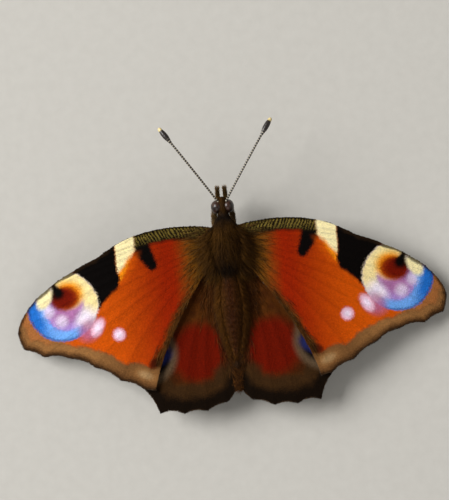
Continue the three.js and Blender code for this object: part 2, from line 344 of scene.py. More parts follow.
def curve(points: Sequence[Sequence[float]], count: int) -> Array:
    """A smooth line through points: between two, the Catmull-Rom cubic of their neighbours.

    Args:
        points: The points that it passes, evenly spaced in its parameter.
        count: How many points to give back.

    Returns:
        Points along the line.
    """
    p = np.asarray(points, float)
    p = np.concatenate([2 * p[:1] - p[1:2], p, 2 * p[-1:] - p[-2:-1]])
    t = np.linspace(0, len(points) - 1, count)
    i = np.minimum(t.astype(int), len(points) - 2)
    f = (t - i)[:, None]
    a, b, c, d = p[i], p[i + 1], p[i + 2], p[i + 3]
    return 0.5 * (2 * b + (c - a) * f + (2 * a - 5 * b + 4 * c - d) * f**2 + (3 * b - a - 3 * c + d) * f**3)


@dataclass(frozen=True)
class Roots:
    """Where hairs or scales grow: places, outward normals, the way they lie, tints and bake places."""

    places: Array
    normals: Array
    lie: Array
    tint: Array
    bake: Array

    def turned(self, stray: Array) -> tuple[Array, Array, Array]:
        """Unit vectors at each root, with the lie turned in the skin.

        Args:
            stray: The turn at each root, in radians.

        Returns:
            The vectors outwards, along the turned lie, and across it.
        """
        normals, lie = unit(self.normals), unit(self.lie)
        across = unit(np.cross(normals, lie))
        c, s = np.cos(stray), np.sin(stray)
        return normals, lie * c + across * s, across * c - lie * s


@dataclass(frozen=True)
class Hair:
    """The form of one kind of hair, in millimetres."""

    length: float
    width: float
    lift: float  # degrees between the skin and the hair where it leaves the root
    fall: float = 0.35  # how far the tip falls back to the skin, as a share of the length
    spread: float = 16  # degrees that hairs stray from the lie
    uneven: float = 0.35  # share by which lengths differ
    widths: float = 0.3  # share by which widths differ
    tints: float = 0.22  # share by which tints differ
    sink: float = 0.04  # how deep the root is set
    # the share along the hair and the share of the width at each ring of three points
    profile: tuple[tuple[float, float], ...] = ((0.0, 0.85), (0.5, 1.0))

    def grow(self, roots: Roots, seed: int) -> Shape:
        """Tapered three-sided hairs: p(s) = root + L (s · way - fall · s² · normal), s = 0, 0.5 and 1.

        Args:
            roots: Where they grow.
            seed: Picks the strays.

        Returns:
            One shape with every hair, each closed at its root and its tip.
        """
        rng = np.random.default_rng(seed)
        n = len(roots.places)
        normals, flat, _ = roots.turned(np.radians(rng.normal(0, self.spread, n))[:, None])
        lift = np.radians(np.clip(self.lift + rng.normal(0, self.spread * 0.5, n), 2, 88))[:, None]
        way = flat * np.cos(lift) + normals * np.sin(lift)
        side = unit(np.cross(way, normals))
        up = np.cross(side, way)
        length = self.length * factors(rng, self.uneven, n)[:, None]
        width = self.width * factors(rng, self.widths, n)[:, None]
        start = roots.places - self.sink * normals
        points = np.empty((n, 7, 3))
        for ring, (s, thick) in enumerate(self.profile):
            centre = start + length * (s * way - self.fall * s * s * normals)
            for k in range(3):
                a = 2 * math.pi * k / 3
                reach = 0.5 * thick * width
                points[:, 3 * ring + k] = centre + reach * (math.cos(a) * side + math.sin(a) * up)
        points[:, 6] = start + length * (way - self.fall * normals)
        first = 7 * np.arange(n)[:, None]
        ring_quads = [[0, 3, 4, 1], [1, 4, 5, 2], [2, 5, 3, 0]]
        tips = [[3, 6, 4], [4, 6, 5], [5, 6, 3], [0, 1, 2]]
        # painted shade: each hair is drawn darker at its root, down in the coat, and lighter at its tip
        shade = np.array([0.6, 0.6, 0.6, 1.0, 1.0, 1.0, 1.2])[None, :, None]
        vary = factors(rng, self.tints, n)[:, None, None]
        across_patch = np.array([0, 0.5, 1, 0, 0.5, 1, 0.5])
        along_patch = np.array([0, 0, 0, 0.5, 0.5, 0.5, 1])
        patch = TUFT_PATCH * np.stack([across_patch, along_patch], -1)[None]
        return Shape(
            points.reshape(-1, 3),
            (first[:, :, None] + np.array(ring_quads)[None]).reshape(-1, 4),
            (first[:, :, None] + np.array(tips)[None]).reshape(-1, 3),
            (roots.tint[:, None] * shade * vary).reshape(-1, 3),
            (roots.bake[:, None] + patch).reshape(-1, 2),
        )


@dataclass(frozen=True)
class Scale:
    """The form of the scales that shingle a wing, thin closed wedges drawn twice as wide as life to show."""

    length: float
    width: float
    tilt: float = 7  # degrees that a scale leans up from the membrane
    thickness: float = 0.02
    clearance: float = 0.012  # between the root and the membrane
    spread: float = 7  # degrees that scales stray from their row
    tilts: float = 0.4  # shares by which tilts, lengths, widths and tints differ
    lengths: float = 0.2
    widths: float = 0.15
    tints: float = 0.13
    belly: float = 0.55  # where the thickest point lies, as a share of the length
    # the outline: shares of the length and of the width, turning left about the way out of the membrane
    outline: tuple[tuple[float, float], ...] = (
        (0.0, 0.0),
        (0.62, -0.5),
        (0.97, -0.3),
        (0.97, 0.3),
        (0.62, 0.5),
    )

    def grow(self, roots: Roots, seed: int) -> Shape:
        """Wedges: p = root + L s · way + W w · side for each corner (s, w), and a point below the middle.

        Args:
            roots: Where they grow.
            seed: Picks the strays.

        Returns:
            One shape with every scale.
        """
        rng = np.random.default_rng(seed)
        n = len(roots.places)
        normals, flat, side = roots.turned(np.radians(rng.normal(0, self.spread, n))[:, None])
        tilt = np.radians(self.tilt * factors(rng, self.tilts, n))[:, None]
        way = flat * np.cos(tilt) + normals * np.sin(tilt)
        length = self.length * factors(rng, self.lengths, n)[:, None]
        width = self.width * factors(rng, self.widths, n)[:, None]
        root = roots.places + self.clearance * normals
        top = [root + length * s * way + width * w * side for s, w in self.outline]
        points = np.stack([*top, root + self.belly * length * way - self.thickness * normals], 1)
        first = 6 * np.arange(n)[:, None, None]
        upper = np.array([[0, 1, 4]])
        lower = np.array([[1, 0, 5], [2, 1, 5], [3, 2, 5], [4, 3, 5], [0, 4, 5]])
        vary = factors(rng, self.tints, n)[:, None, None]
        # painted shade: each scale is drawn darker at its root, under the row before it, and on its
        # underside, and a little lighter at its tip
        shade = np.array([0.86, 1.0, 1.05, 1.05, 1.0, 0.9])[None, :, None]
        corners = np.array([(w + 0.5, s) for s, w in self.outline] + [(0.5, self.belly)])
        return Shape(
            points.reshape(-1, 3),
            (first + np.array([[1, 2, 3, 4]])).reshape(-1, 4),
            (first + np.concatenate([upper, lower])).reshape(-1, 3),
            (roots.tint[:, None] * vary * shade).reshape(-1, 3),
            (roots.bake[:, None] + TUFT_PATCH * corners[None]).reshape(-1, 2),
            rounded=False,
        )


def add_node(
    tree: bpy.types.NodeTree, kind: str, settings: dict[str, Any] | None = None, **inputs: Any
) -> bpy.types.Node:
    """Add a shader node with its settings, values and links.

    Args:
        tree: The material's node tree.
        kind: The node's type.
        settings: Properties of the node itself.
        **inputs: A value or another node's output for each input, spaces in its name written as _.

    Returns:
        The node.
    """
    made = tree.nodes.new(kind)
    for name, value in (settings or {}).items():
        setattr(made, name, value)
    for name, value in inputs.items():
        key = int(name[1:]) if name[0] == "_" else name.replace("_", " ")
        if isinstance(value, bpy.types.NodeSocket):
            tree.links.new(value, made.inputs[key])
        else:
            made.inputs[key].default_value = value
    return made


@dataclass(frozen=True)
class Finish:
    """A real material: its own tint made uneven by noise, and a fine relief, under one Principled shader."""

    roughness: float = 0.5
    ior: float = 1.5
    specular: float = 0.5
    sheen: float = 0.0
    sheen_roughness: float = 0.5
    coat: float = 0.0
    coat_roughness: float = 0.03
    mottle_mm: float = 0.25  # the noise's size
    mottle_detail: float = 3.0
    tones: tuple[float, float] = (0.8, 1.2)  # what the tint is multiplied by in the noise's dark and light
    grain_mm: float = 0.0  # the relief's grain, or 0 where the relief follows the noise
    relief_mm: float = 0.0
    relief_share: float = 0.5  # how much of the relief shows

    def colour(self, tree: bpy.types.NodeTree, noise: bpy.types.NodeSocket) -> bpy.types.NodeSocket:
        """Make the surface's own tint lighter and darker by the noise.

        Args:
            tree: The material's node tree.
            noise: The noise's output.

        Returns:
            The colour output.
        """
        tint = add_node(tree, "ShaderNodeAttribute", {"attribute_name": TINT})
        low, high = self.tones
        level = add_node(
            tree, "ShaderNodeMapRange", Value=noise, From_Min=0.3, From_Max=0.7, To_Min=low, To_Max=high
        )
        scaled = add_node(
            tree,
            "ShaderNodeVectorMath",
            {"operation": "SCALE"},
            _0=tint.outputs["Color"],
            Scale=level.outputs["Result"],
        )
        return scaled.outputs["Vector"]

    def material(self, name: str) -> bpy.types.Material:
        """Build the finish.

        Args:
            name: The material's name.

        Returns:
            The material.
        """
        material = bpy.data.materials.new(name)
        material.use_nodes = True
        tree = material.node_tree
        tree.nodes.clear()
        place = add_node(tree, "ShaderNodeTexCoord").outputs["Object"]
        size = 1 / (self.mottle_mm * MM)
        mottle = add_node(tree, "ShaderNodeTexNoise", Vector=place, Scale=size, Detail=self.mottle_detail)
        noise = mottle.outputs["Fac"]
        inputs = dict(
            Base_Color=self.colour(tree, noise),
            Roughness=self.roughness,
            IOR=self.ior,
            Specular_IOR_Level=self.specular,
            Sheen_Weight=self.sheen,
            Sheen_Roughness=self.sheen_roughness,
            Coat_Weight=self.coat,
            Coat_Roughness=self.coat_roughness,
        )
        if self.relief_mm:
            height, depth = noise, self.relief_mm * MM
            if self.grain_mm:
                size = 1 / (self.grain_mm * MM)
                height = add_node(tree, "ShaderNodeTexVoronoi", Vector=place, Scale=size).outputs["Distance"]
            share = self.relief_share
            bump = add_node(tree, "ShaderNodeBump", Height=height, Distance=depth, Strength=share)
            inputs["Normal"] = bump.outputs["Normal"]
        surface = add_node(tree, "ShaderNodeBsdfPrincipled", **inputs)
        add_node(tree, "ShaderNodeOutputMaterial", Surface=surface.outputs["BSDF"])
        return material


@dataclass(frozen=True)
class WingScaleFinish(Finish):
    """Butterfly scales: chitin dust in rows, matt and velvety, that scatters a faint light at the edges."""

    roughness: float = 0.72
    ior: float = 1.56  # chitin
    specular: float = 0.035  # the dust hides most of the chitin's gloss
    sheen: float = 0.006
    sheen_roughness: float = 0.4
    mottle_mm: float = 0.12  # a scale's width, about twice life
    tones: tuple[float, float] = (0.86, 1.14)
    grain_mm: float = 0.12
    relief_mm: float = 0.02


@dataclass(frozen=True)
class HairFinish(Finish):
    """Insect hair: fine threads of chitin, nearly matt where they shade one another."""

    roughness: float = 0.58
    ior: float = 1.55
    specular: float = 0.07
    sheen: float = 0.01
    sheen_roughness: float = 0.35


@dataclass(frozen=True)
class CuticleFinish(Finish):
    """Insect horn: sclerotised chitin, satin, with a fine leathery grain between thin scales."""

    roughness: float = 0.42
    ior: float = 1.56
    mottle_mm: float = 0.3
    tones: tuple[float, float] = (0.75, 1.25)
    grain_mm: float = 0.08
    relief_mm: float = 0.01
    relief_share: float = 0.4


@dataclass(frozen=True)
class StainedFinish(Finish):
    """A material whose colour runs between stains by the noise."""

    stains: tuple[tuple[str, float], ...] = ()  # each colour, and the noise where it is full

    def colour(self, tree: bpy.types.NodeTree, noise: bpy.types.NodeSocket) -> bpy.types.NodeSocket:
        """Pick the stain by the noise.

        Args:
            tree: The material's node tree.
            noise: The noise's output.

        Returns:
            The colour output.
        """
        ramp = add_node(tree, "ShaderNodeValToRGB", Fac=noise)
        for stop, (colour, full) in zip(ramp.color_ramp.elements, self.stains):
            stop.color = (*linear(colour), 1)
            stop.position = full
        return ramp.outputs["Color"]


@dataclass(frozen=True)
class EyeFinish(StainedFinish):
    """A compound eye: clear lenses over dark pigment, a gloss broken up by the facets."""

    stains: tuple[tuple[str, float], ...] = (("#120A08", 0.42), ("#3A2012", 0.66))
    roughness: float = 0.38
    specular: float = 0.35
    coat: float = 0.35
    coat_roughness: float = 0.18
    mottle_mm: float = 0.7
    mottle_detail: float = 2.0
    grain_mm: float = 0.075  # real facets are 0.02 mm, too fine to show
    relief_mm: float = 0.012
    relief_share: float = 0.6


@dataclass(frozen=True)
class PaperFinish(StainedFinish):
    """A pale matt ground, as of heavy drawing paper."""

    stains: tuple[tuple[str, float], ...] = (("#BAB7B0", 0.0), ("#C4C1BA", 1.0))
    roughness: float = 0.9
    specular: float = 0.05
    mottle_mm: float = 1.4
    mottle_detail: float = 6.0
    relief_mm: float = 0.05
    relief_share: float = 0.3


@dataclass(frozen=True)
class Finishes:
    """Every material of the butterfly, made once."""

    forewing: bpy.types.Material
    hindwing: bpy.types.Material
    hair: bpy.types.Material
    cuticle: bpy.types.Material
    leg: bpy.types.Material
    eye: bpy.types.Material

    @classmethod
    def make(cls) -> Finishes:
        """Build them all.

        Returns:
            The materials.
        """
        return cls(
            WingScaleFinish().material("Forewing scales"),
            WingScaleFinish(roughness=0.78).material("Hindwing scales"),
            HairFinish().material("Insect hair"),
            CuticleFinish().material("Dark chitin"),
            CuticleFinish(roughness=0.62).material("Scaly chitin"),
            EyeFinish().material("Compound eye"),
        )


@dataclass(frozen=True)
class WingSheet:
    """The sheet that both pairs of wings lie in: level at the root, drooping outwards and to the rear."""

    root: float = 2
    height: float = 6.5
    rise: float = 0.03
    droop: float = 0.0058
    rear_fall: float = 0.06

    def at(self, x: Array, y: Array) -> Array:
        """Height over a place: height + rise·o - droop·o² - rear_fall·y, where o is x - root."""
        out = x - self.root
        return self.height + self.rise * out - self.droop * out**2 - self.rear_fall * y


def bent(start: Array, via: Array, end: Array, v: Array) -> Array:
    """Places on a bent line at shares v of the way: (1-v)² start + 2v(1-v) via + v² end."""
    return (1 - v) ** 2 * start + 2 * v * (1 - v) * via + v**2 * end


@dataclass(frozen=True)
class Column:
    """A vein or an edge: its share of the root's chord, where it heads, its tip, and the bow after it."""

    at: float
    via: tuple[float, float]
    tip: tuple[float, float]
    bow: float = 0.0


@dataclass(frozen=True)
class WingPlan:
    """A wing seen from above, as columns. u counts columns, and v runs from root to margin."""

    root: tuple[tuple[float, float], tuple[float, float]]
    columns: tuple[Column, ...]
    apex: int  # the column whose tip parts the front edge from the outer margin
    lowered: float  # how far the wing lies below the common sheet
    sheet: WingSheet = WingSheet()
    vein_width: float = 0.14
    crowded: float = 0.9  # the room between columns below which veins are lower

    @property
    def last(self) -> int:
        """The number of the last column, the first being 0."""
        return len(self.columns) - 1

    def ends(self) -> tuple[Array, Array, Array]:
        """Find where the columns start and end.

        Returns:
            Each column's root, the point that it heads for, and its tip.
        """
        front, rear = np.array(self.root)
        at = np.array([c.at for c in self.columns])[:, None]
        via = np.array([c.via for c in self.columns])
        tips = np.array([c.tip for c in self.columns])
        return front * (1 - at) + rear * at, via, tips

    def lines(self, v: Array) -> Array:
        """Each column's places at shares v of the way from root to margin, by column and by v."""
        roots, via, tips = self.ends()
        return bent(roots[:, None], via[:, None], tips[:, None], v[None, :, None])

    def place(self, u: Array, v: Array) -> tuple[Array, Array]:
        """Places in plan for pairs of u and v, with how near each is to a vein.

        Between two columns the place moves straight from one to the other, and bows out at the margin
        by bow · v³ · sin(πf), where f is the share of the way between them.

        Args:
            u: Column counts.
            v: Shares of the way to the margin.

        Returns:
            The places, and a ridge from 0 between veins to 1 on them.
        """
        j = np.clip(np.floor(u).astype(int), 0, self.last - 1)
        f = (u - j)[:, None]
        roots, via, tips = self.ends()
        w = v[:, None]
        near, far = (bent(roots[k], via[k], tips[k], w) for k in (j, j + 1))
        chord = tips[j + 1] - tips[j]
        out = unit(np.stack([-chord[:, 1], chord[:, 0]], -1))
        out *= np.sign(np.sum(out * (tips[j] - roots[j]), -1, keepdims=True))
        bow = np.array([c.bow for c in self.columns])[j][:, None]
        spot = near * (1 - f) + far * f + out * bow * w**3 * np.sin(np.pi * f)
        room = np.linalg.norm(far - near, axis=-1)
        gap = np.minimum(f, 1 - f)[:, 0] * room
        return spot, np.exp(-((gap / self.vein_width) ** 2)) * np.clip(room / self.crowded, 0.15, 1)

    def edge(self, first: int, last: int) -> Array:
        """The margin from the tip of the first column to that of the last, as a line of points."""
        u = np.linspace(first, last, (last - first) * 10 + 1)
        return self.place(u, np.ones_like(u))[0]

    def distances(self, x: Array, y: Array) -> tuple[Array, Array, Array]:
        """Distances from the front edge, the outer margin and the inner edge.

        Args:
            x: Places across.
            y: Places back.

        Returns:
            The three distances.
        """
        lines = self.lines(np.linspace(0, 1, 30))
        front = np.concatenate([lines[0], self.edge(0, self.apex)])
        outer = self.edge(self.apex, self.last)
        gaps = []
        for line in (front, outer, lines[-1]):
            gap = np.full(len(x), np.inf)
            for a, b in zip(line[:-1], line[1:]):
                gap = np.minimum(gap, nearest(x, y, a, b)[1])
            gaps.append(gap)
        return tuple(gaps)


FOREWING = WingPlan(
    root=((1.6, -2.4), (1.6, 1.4)),
    columns=(
        Column(0.0, (8.6, -3.7), (14.0, -1.8), 0.12),
        Column(0.12, (12.4, -2.1), (18.4, 0.5), 0.14),
        Column(0.2, (14.0, -1.2), (22.2, 2.1), 0.14),
        Column(0.28, (14.8, -0.2), (25.8, 4.1), 0.2),
        Column(0.36, (15.4, 0.9), (28.7, 6.6), 0.22),
        Column(0.44, (15.8, 2.2), (30.2, 9.4), 0.12),
        Column(0.52, (15.8, 3.8), (29.5, 11.8), -0.2),
        Column(0.6, (15.0, 5.4), (26.7, 13.1), -0.32),
        Column(0.68, (13.8, 6.6), (23.1, 13.6), -0.34),
        Column(0.76, (12.6, 7.3), (19.6, 15.2), -0.3),
        Column(0.84, (11.4, 8.1), (16.2, 17.3), -0.26),
        Column(0.92, (10.6, 10.2), (13.0, 18.8), -0.05),
        Column(1.0, (10.0, 12.7), (11.5, 19.1)),
    ),
    apex=5,
    lowered=0.12,
)
HINDWING = WingPlan(
    root=((1.6, -0.2), (1.5, 3.8)),
    columns=(
        Column(0.0, (8.4, 0.8), (14.6, 8.4), 0.2),
        Column(0.2, (10.2, 5.0), (16.3, 12.2), -0.1),
        Column(0.32, (9.6, 7.2), (15.4, 15.6), -0.24),
        Column(0.43, (8.6, 8.7), (13.3, 18.6), -0.3),
        Column(0.54, (7.4, 9.8), (11.2, 22.4), -0.42),
        Column(0.65, (5.9, 9.8), (7.9, 22.7), -0.3),
        Column(0.76, (4.4, 9.2), (4.7, 22.6), -0.2),
        Column(0.88, (2.9, 9.8), (1.8, 21.6), 0.15),
        Column(1.0, (2.15, 11.8), (0.2, 19.4)),
    ),
    apex=1,
    lowered=0.9,
)


@dataclass(frozen=True)
class Dab:
    """A soft-edged oval of one colour, in millimetres."""

    colour: str
    middle: tuple[float, float]
    radii: tuple[float, float]
    turn: float = 0  # degrees that its first axis is turned from x towards y
    soft: float = 0.18  # half the width of its edge, as a share of its radius
    strength: float = 1


@dataclass(frozen=True)
class Bar:
    """A soft-edged bar of one colour with round ends, in millimetres."""

    colour: str
    start: tuple[float, float]
    end: tuple[float, float]
    halves: tuple[float, float]  # half its width at the start and at the end
    soft: float  # half the width of its edge, as a share of its half width


@dataclass
class Canvas:
    """Places on a face of a wing, their distances from its edges, and the colours laid on them so far."""

    x: Array
    y: Array
    front: Array
    outer: Array
    inner: Array
    colour: Array
    wavy: Array | float = 0.0  # how far the edges of marks waver

    def noise(self, cell: float, seed: int) -> Array:
        """Smooth random values from 0 to 1 at the places."""
        return cloud(self.x, self.y, cell, seed)

    def ripple(self, *layers: tuple[float, float, int]) -> None:
        """Set the waver to the sum of depth · (noise - 0.5) over layers of a depth, a cell and a seed."""
        self.wavy = sum(depth * (self.noise(cell, seed) - 0.5) for depth, cell, seed in layers)

    def paint(self, colour: str, mask: Array) -> None:
        """Lay a colour over what is there, by a mask that is held between 0 and 1."""
        self.colour = blend(self.colour, linear(colour), np.clip(mask, 0, 1))

    def dab(self, dab: Dab, within: Array | float = 1.0, shift: Array | float = 0.0) -> None:
        """Paint an oval: full inside, nothing outside, with a step in its own radius r where r = 1.

        Args:
            dab: The oval.
            within: A mask that it keeps inside.
            shift: What is added to the places, across and back, to make its edge waver.
        """
        c, s = math.cos(math.radians(dab.turn)), math.sin(math.radians(dab.turn))
        dx, dy = self.x + shift - dab.middle[0], self.y + shift - dab.middle[1]
        r = np.hypot((dx * c + dy * s) / dab.radii[0], (dy * c - dx * s) / dab.radii[1])
        self.paint(dab.colour, dab.strength * within * (1 - smooth(1 - dab.soft, 1 + dab.soft, r)))

    def bar(self, bar: Bar, within: Array | float = 1.0) -> None:
        """Paint a bar: full where its axis is nearer than its half width, which changes evenly along it.

        Args:
            bar: The bar.
            within: A mask that it keeps inside.
        """
        share, gap = nearest(self.x, self.y, bar.start, bar.end)
        half = bar.halves[0] + (bar.halves[1] - bar.halves[0]) * share
        self.paint(bar.colour, within * (1 - smooth(1 - bar.soft, 1 + bar.soft, gap / half)))


@dataclass(frozen=True)
class Marks:
    """What is painted on a face of a wing."""

    ground: str
    vein_shade: float  # how much lighter the veins are

    def draw(self, art: Canvas) -> None:
        """Lay the marks over the ground, the lowest first.

        Args:
            art: The places and their colours.
        """
        raise NotImplementedError

    def tint(self, plan: WingPlan, x: Array, y: Array, ridge: Array) -> Array:
        """Colours of the face.

        Args:
            plan: The wing.
            x: Places across.
            y: Places back.
            ridge: How near each place is to a vein.

        Returns:
            One linear colour a place.
        """
        art = Canvas(x, y, *plan.distances(x, y), np.tile(linear(self.ground), (len(x), 1)))
        self.draw(art)
        return art.colour * (1 + self.vein_shade * ridge[:, None])


@dataclass(frozen=True)
class ForewingMarks(Marks):
    """The upper face of a forewing: red, with a comb of bars, black and cream patches and an eyespot."""

    ground: str = "#8E1E00"
    vein_shade: float = -0.14
    orange: str = "#C65004"
    base: str = "#2E1B08"
    gold: str = "#74480E"
    comb_dark: str = "#120C04"
    comb_gold: str = "#74632A"
    black: str = "#060302"
    cream: str = "#F4E6B0"
    amber: str = "#E8860F"
    yellow: str = "#F2C25A"
    ring: str = "#F3DFA0"
    ring_white: str = "#E6DDF0"
    maroon: str = "#6C1202"
    russet: str = "#A23806"
    lilac: str = "#A688CE"
    rose: str = "#AE6690"
    snow: str = "#F4EAFA"
    blue: str = "#226CC4"
    sky: str = "#78B0F2"
    navy: str = "#0E2A6C"
    pink: str = "#E6B8CC"
    tan: str = "#96683A"
    umber: str = "#5A3A1E"
    rim: str = "#241609"
    comb_pitch: float = 0.45
    comb_end: float = 13.0
    wedge: Bar = Bar(black, (11.65, -0.6), (10.4, 1.9), (1.3, 0.72), 0.3)
    eye: tuple[float, float] = (23.45, 6.35)
    eye_radii: tuple[float, float] = (5.1, 4.9)
    bloom: Dab = Dab(rose, (22.7, 7.3), (2.7, 1.5), 8, 0.6, 0.75)  # on the lilac disc
    gleam: Dab = Dab(sky, (23.2, 10.4), (2.9, 1.5), -12, 0.6, 0.7)  # on the blue crescent
    iris: tuple[Dab, ...] = (
        Dab(snow, (20.8, 8.1), (0.75, 1.5), -38, 0.65, 0.6),
        Dab(snow, (23.8, 8.4), (0.85, 0.8), 0, 0.65, 0.6),
        Dab(snow, (25.5, 6.9), (0.75, 0.85), 0, 0.65, 0.6),
        Dab(yellow, (22.45, 4.75), (2.2, 1.95), 0, 0.28),
        Dab(amber, (22.55, 4.8), (1.85, 1.6), 0, 0.3),
        Dab(russet, (22.95, 5.3), (1.9, 1.6), 8, 0.24),
        Dab(maroon, (23.4, 5.25), (1.85, 1.45), 8, 0.38),
        Dab(black, (24.1, 4.5), (1.05, 0.85), 0, 0.5, 0.85),
    )
    tail: Bar = Bar(black, (23.9, 4.4), (24.8, 3.0), (0.6, 0.3), 0.45)  # a stroke out of the iris
    brow: Dab = Dab(cream, (25.95, 4.9), (1.0, 1.7), -26, 0.3)  # beside the iris
    # two pinkish spots with pale hearts, on a rosy veil between the eyespot and the body
    spots: tuple[Dab, ...] = (
        Dab(rose, (19.9, 9.9), (1.6, 1.3), 40, 0.55, 0.75),
        Dab(pink, (18.75, 9.75), (0.8, 1.35), -32, 0.32),
        Dab(snow, (18.75, 9.75), (0.4, 0.675), -32, 0.6, 0.7),
        Dab(pink, (15.85, 11.0), (0.85, 0.85), 0, 0.32),
        Dab(snow, (15.85, 11.0), (0.425, 0.425), 0, 0.6, 0.7),
    )
    # the border's pale spot and dark notch near its rear corner
    corner: tuple[Dab, ...] = (
        Dab(tan, (12.6, 16.9), (1.7, 0.8), -24, 0.6, 0.65),
        Dab(cream, (12.7, 16.9), (1.0, 0.5), -24, 0.6, 0.12),
        Dab(black, (11.3, 15.4), (0.9, 0.6), 40, 0.5, 0.8),
    )
    # the cream patch's two sides: back, then across on the side of the body and on the other
    patch_back: tuple[float, ...] = (-2.0, -0.4, 1.2, 2.6, 3.8)
    patch_inner: tuple[float, ...] = (12.5, 12.7, 13.4, 14.2, 15.1)
    patch_outer: tuple[float, ...] = (15.2, 15.2, 15.15, 15.1, 15.1)
    # the border's width, by how far across it is
    border_across: tuple[float, ...] = (11, 13, 16, 20, 25, 28, 30)
    border_width: tuple[float, ...] = (3.0, 2.8, 2.2, 2.0, 1.6, 1.3, 1.1)

    def draw(self, art: Canvas) -> None:
        """Fade the red field to orange, then lay the marks over it.

        Args:
            art: The places and their colours.
        """
        art.ripple((0.5, 1.1, 3), (0.25, 0.4, 4))
        art.paint(self.orange, smooth(8, 18.5, art.x + art.wavy))
        self.draw_root(art)
        self.draw_patches(art)
        art.paint(self.tan, 0.8 * smooth(23.6, 25.8, art.x + 0.35 * (art.y - 8) + art.wavy))
        self.draw_eyespot(art)
        for spot in self.spots:
            art.dab(spot)
        self.draw_margin(art)
        self.draw_comb(art)

    def draw_root(self, art: Canvas) -> None:
        """Brown and gold at the root and along the inner edge.

        Args:
            art: The places and their colours.
        """
        root = 1 - smooth(4.0, 7.8, art.x + 0.8 * art.wavy)
        edge = 1 - smooth(0.1, 1.5, art.inner + 1.2 * art.wavy)
        art.paint(self.gold, np.maximum(root, 0.85 * edge))
        dark = np.maximum(1 - smooth(2.2, 5.6, art.x + art.wavy), edge * smooth(3, 8, art.y))
        art.paint(self.base, 0.8 * dark)

    def draw_patches(self, art: Canvas) -> None:
        """The black cell wedge, the cream patch with its amber side, and the black field beyond it.

        Args:
            art: The places and their colours.
        """
        y = art.y
        art.bar(self.wedge)
        inside = art.x + 0.6 * art.wavy - np.interp(y, self.patch_back, self.patch_inner)
        outside = art.x + 0.6 * art.wavy - np.interp(y, self.patch_back, self.patch_outer)
        band = (1 - smooth(-0.15, 0.25, outside)) * (1 - smooth(3.4, 4.3, y))
        art.paint(self.orange, band * smooth(-1.5, 0.1, inside) * smooth(-0.6, 0.8, y))
        patch = band * smooth(-0.3, 0.3, inside)
        art.paint(self.amber, patch)
        pale = smooth(0.0, 0.8, inside - 0.3 * (y - 0.8)) * (1 - smooth(2.2, 3.7, y))
        art.paint(self.cream, patch * np.maximum(pale, 1 - smooth(-0.4, 1.3, y)))
        slant = y - 4.35 - 0.98 * (art.x - 15.3) + art.wavy
        black = smooth(-0.1, 0.25, outside) * (1 - smooth(-0.45, 0.35, slant))
        art.paint(self.black, black * (1 - smooth(21.0, 22.0, art.x)))

    def draw_eyespot(self, art: Canvas) -> None:
        """The eyespot: a pale crescent before, a blue one behind, and lilac, amber and maroon inside.

        Args:
            art: The places and their colours.
        """
        dx, dy = (art.x - self.eye[0]) / self.eye_radii[0], (art.y - self.eye[1]) / self.eye_radii[1]
        r = np.hypot(dx, dy) + 0.05 * art.wavy
        turn = np.degrees(np.arctan2(dy, dx)) % 360
        disc = 1 - smooth(0.95, 1.02, r)
        art.paint(self.lilac, disc)
        art.dab(self.bloom, disc)
        pale = smooth(120, 150, turn) * (1 - smooth(286, 297, turn)) * smooth(0.52, 0.66, r)
        art.paint(self.ring, disc * pale)
        art.paint(self.ring_white, 0.9 * disc * pale * (1 - smooth(148, 182, turn)))
        low = np.maximum(1 - smooth(112, 138, turn), smooth(336, 350, turn))
        reach = 0.52 + 0.22 * smooth(20, 90, turn) * (1 - smooth(300, 340, turn))
        blue = disc * low * smooth(-0.08, 0.08, r - reach + 0.12 * art.wavy)
        art.paint(self.blue, blue)
        art.paint(self.sky, 0.7 * blue * (1 - smooth(0.0, 0.26, r - reach)))
        art.dab(self.gleam, blue)
        art.paint(self.navy, 0.8 * blue * smooth(0.9, 0.99, r))
        for dab in self.iris:
            art.dab(dab, disc)
        art.bar(self.tail, disc)
        art.dab(self.brow)

    def draw_margin(self, art: Canvas) -> None:
        """The tan border of the outer margin, its rear corner, and the dark line of both edges.

        Args:
            art: The places and their colours.
        """
        width = np.interp(art.x, self.border_across, self.border_width)
        border = 1 - smooth(-0.35, 0.35, art.outer - width + 0.9 * art.wavy)
        art.paint(self.umber, border)
        light = smooth(0.35, 1.1, art.outer + 0.5 * art.wavy)
        art.paint(self.tan, border * light * (0.3 + 0.6 * smooth(15, 21, art.x)))
        for dab in self.corner:
            art.dab(dab)
        art.paint(self.rim, 0.85 * (1 - smooth(0.15, 0.5, art.outer + 0.3 * art.wavy)))
        edge = (1 - smooth(0.1, 0.5, art.front + 0.4 * art.wavy)) * smooth(15, 17, art.x)
        art.paint(self.rim, 0.85 * edge)

    def draw_comb(self, art: Canvas) -> None:
        """Fine gold bars across the dark front edge, from the root to the cream patch.

        Args:
            art: The places and their colours.
        """
        strip = 1 - smooth(1.35, 2.0, art.front + 0.5 * art.wavy)
        strip = strip * (1 - smooth(self.comb_end - 0.7, self.comb_end, art.x + art.wavy))
        strip = strip * smooth(1.6, 3.2, art.x)
        slant = art.x + 0.45 * art.y + 0.5 * art.wavy
        bars = smooth(0.3, 0.8, 0.5 + 0.5 * np.sin(2 * np.pi * slant / self.comb_pitch))
        shown = smooth(-0.05, 0.12, art.front) * (1 - smooth(0.9, 1.8, art.front))
        shown = shown * (0.55 + 0.6 * art.noise(0.5, 12))
        art.paint(self.comb_dark, strip)
        art.paint(self.comb_gold, strip * bars * shown)


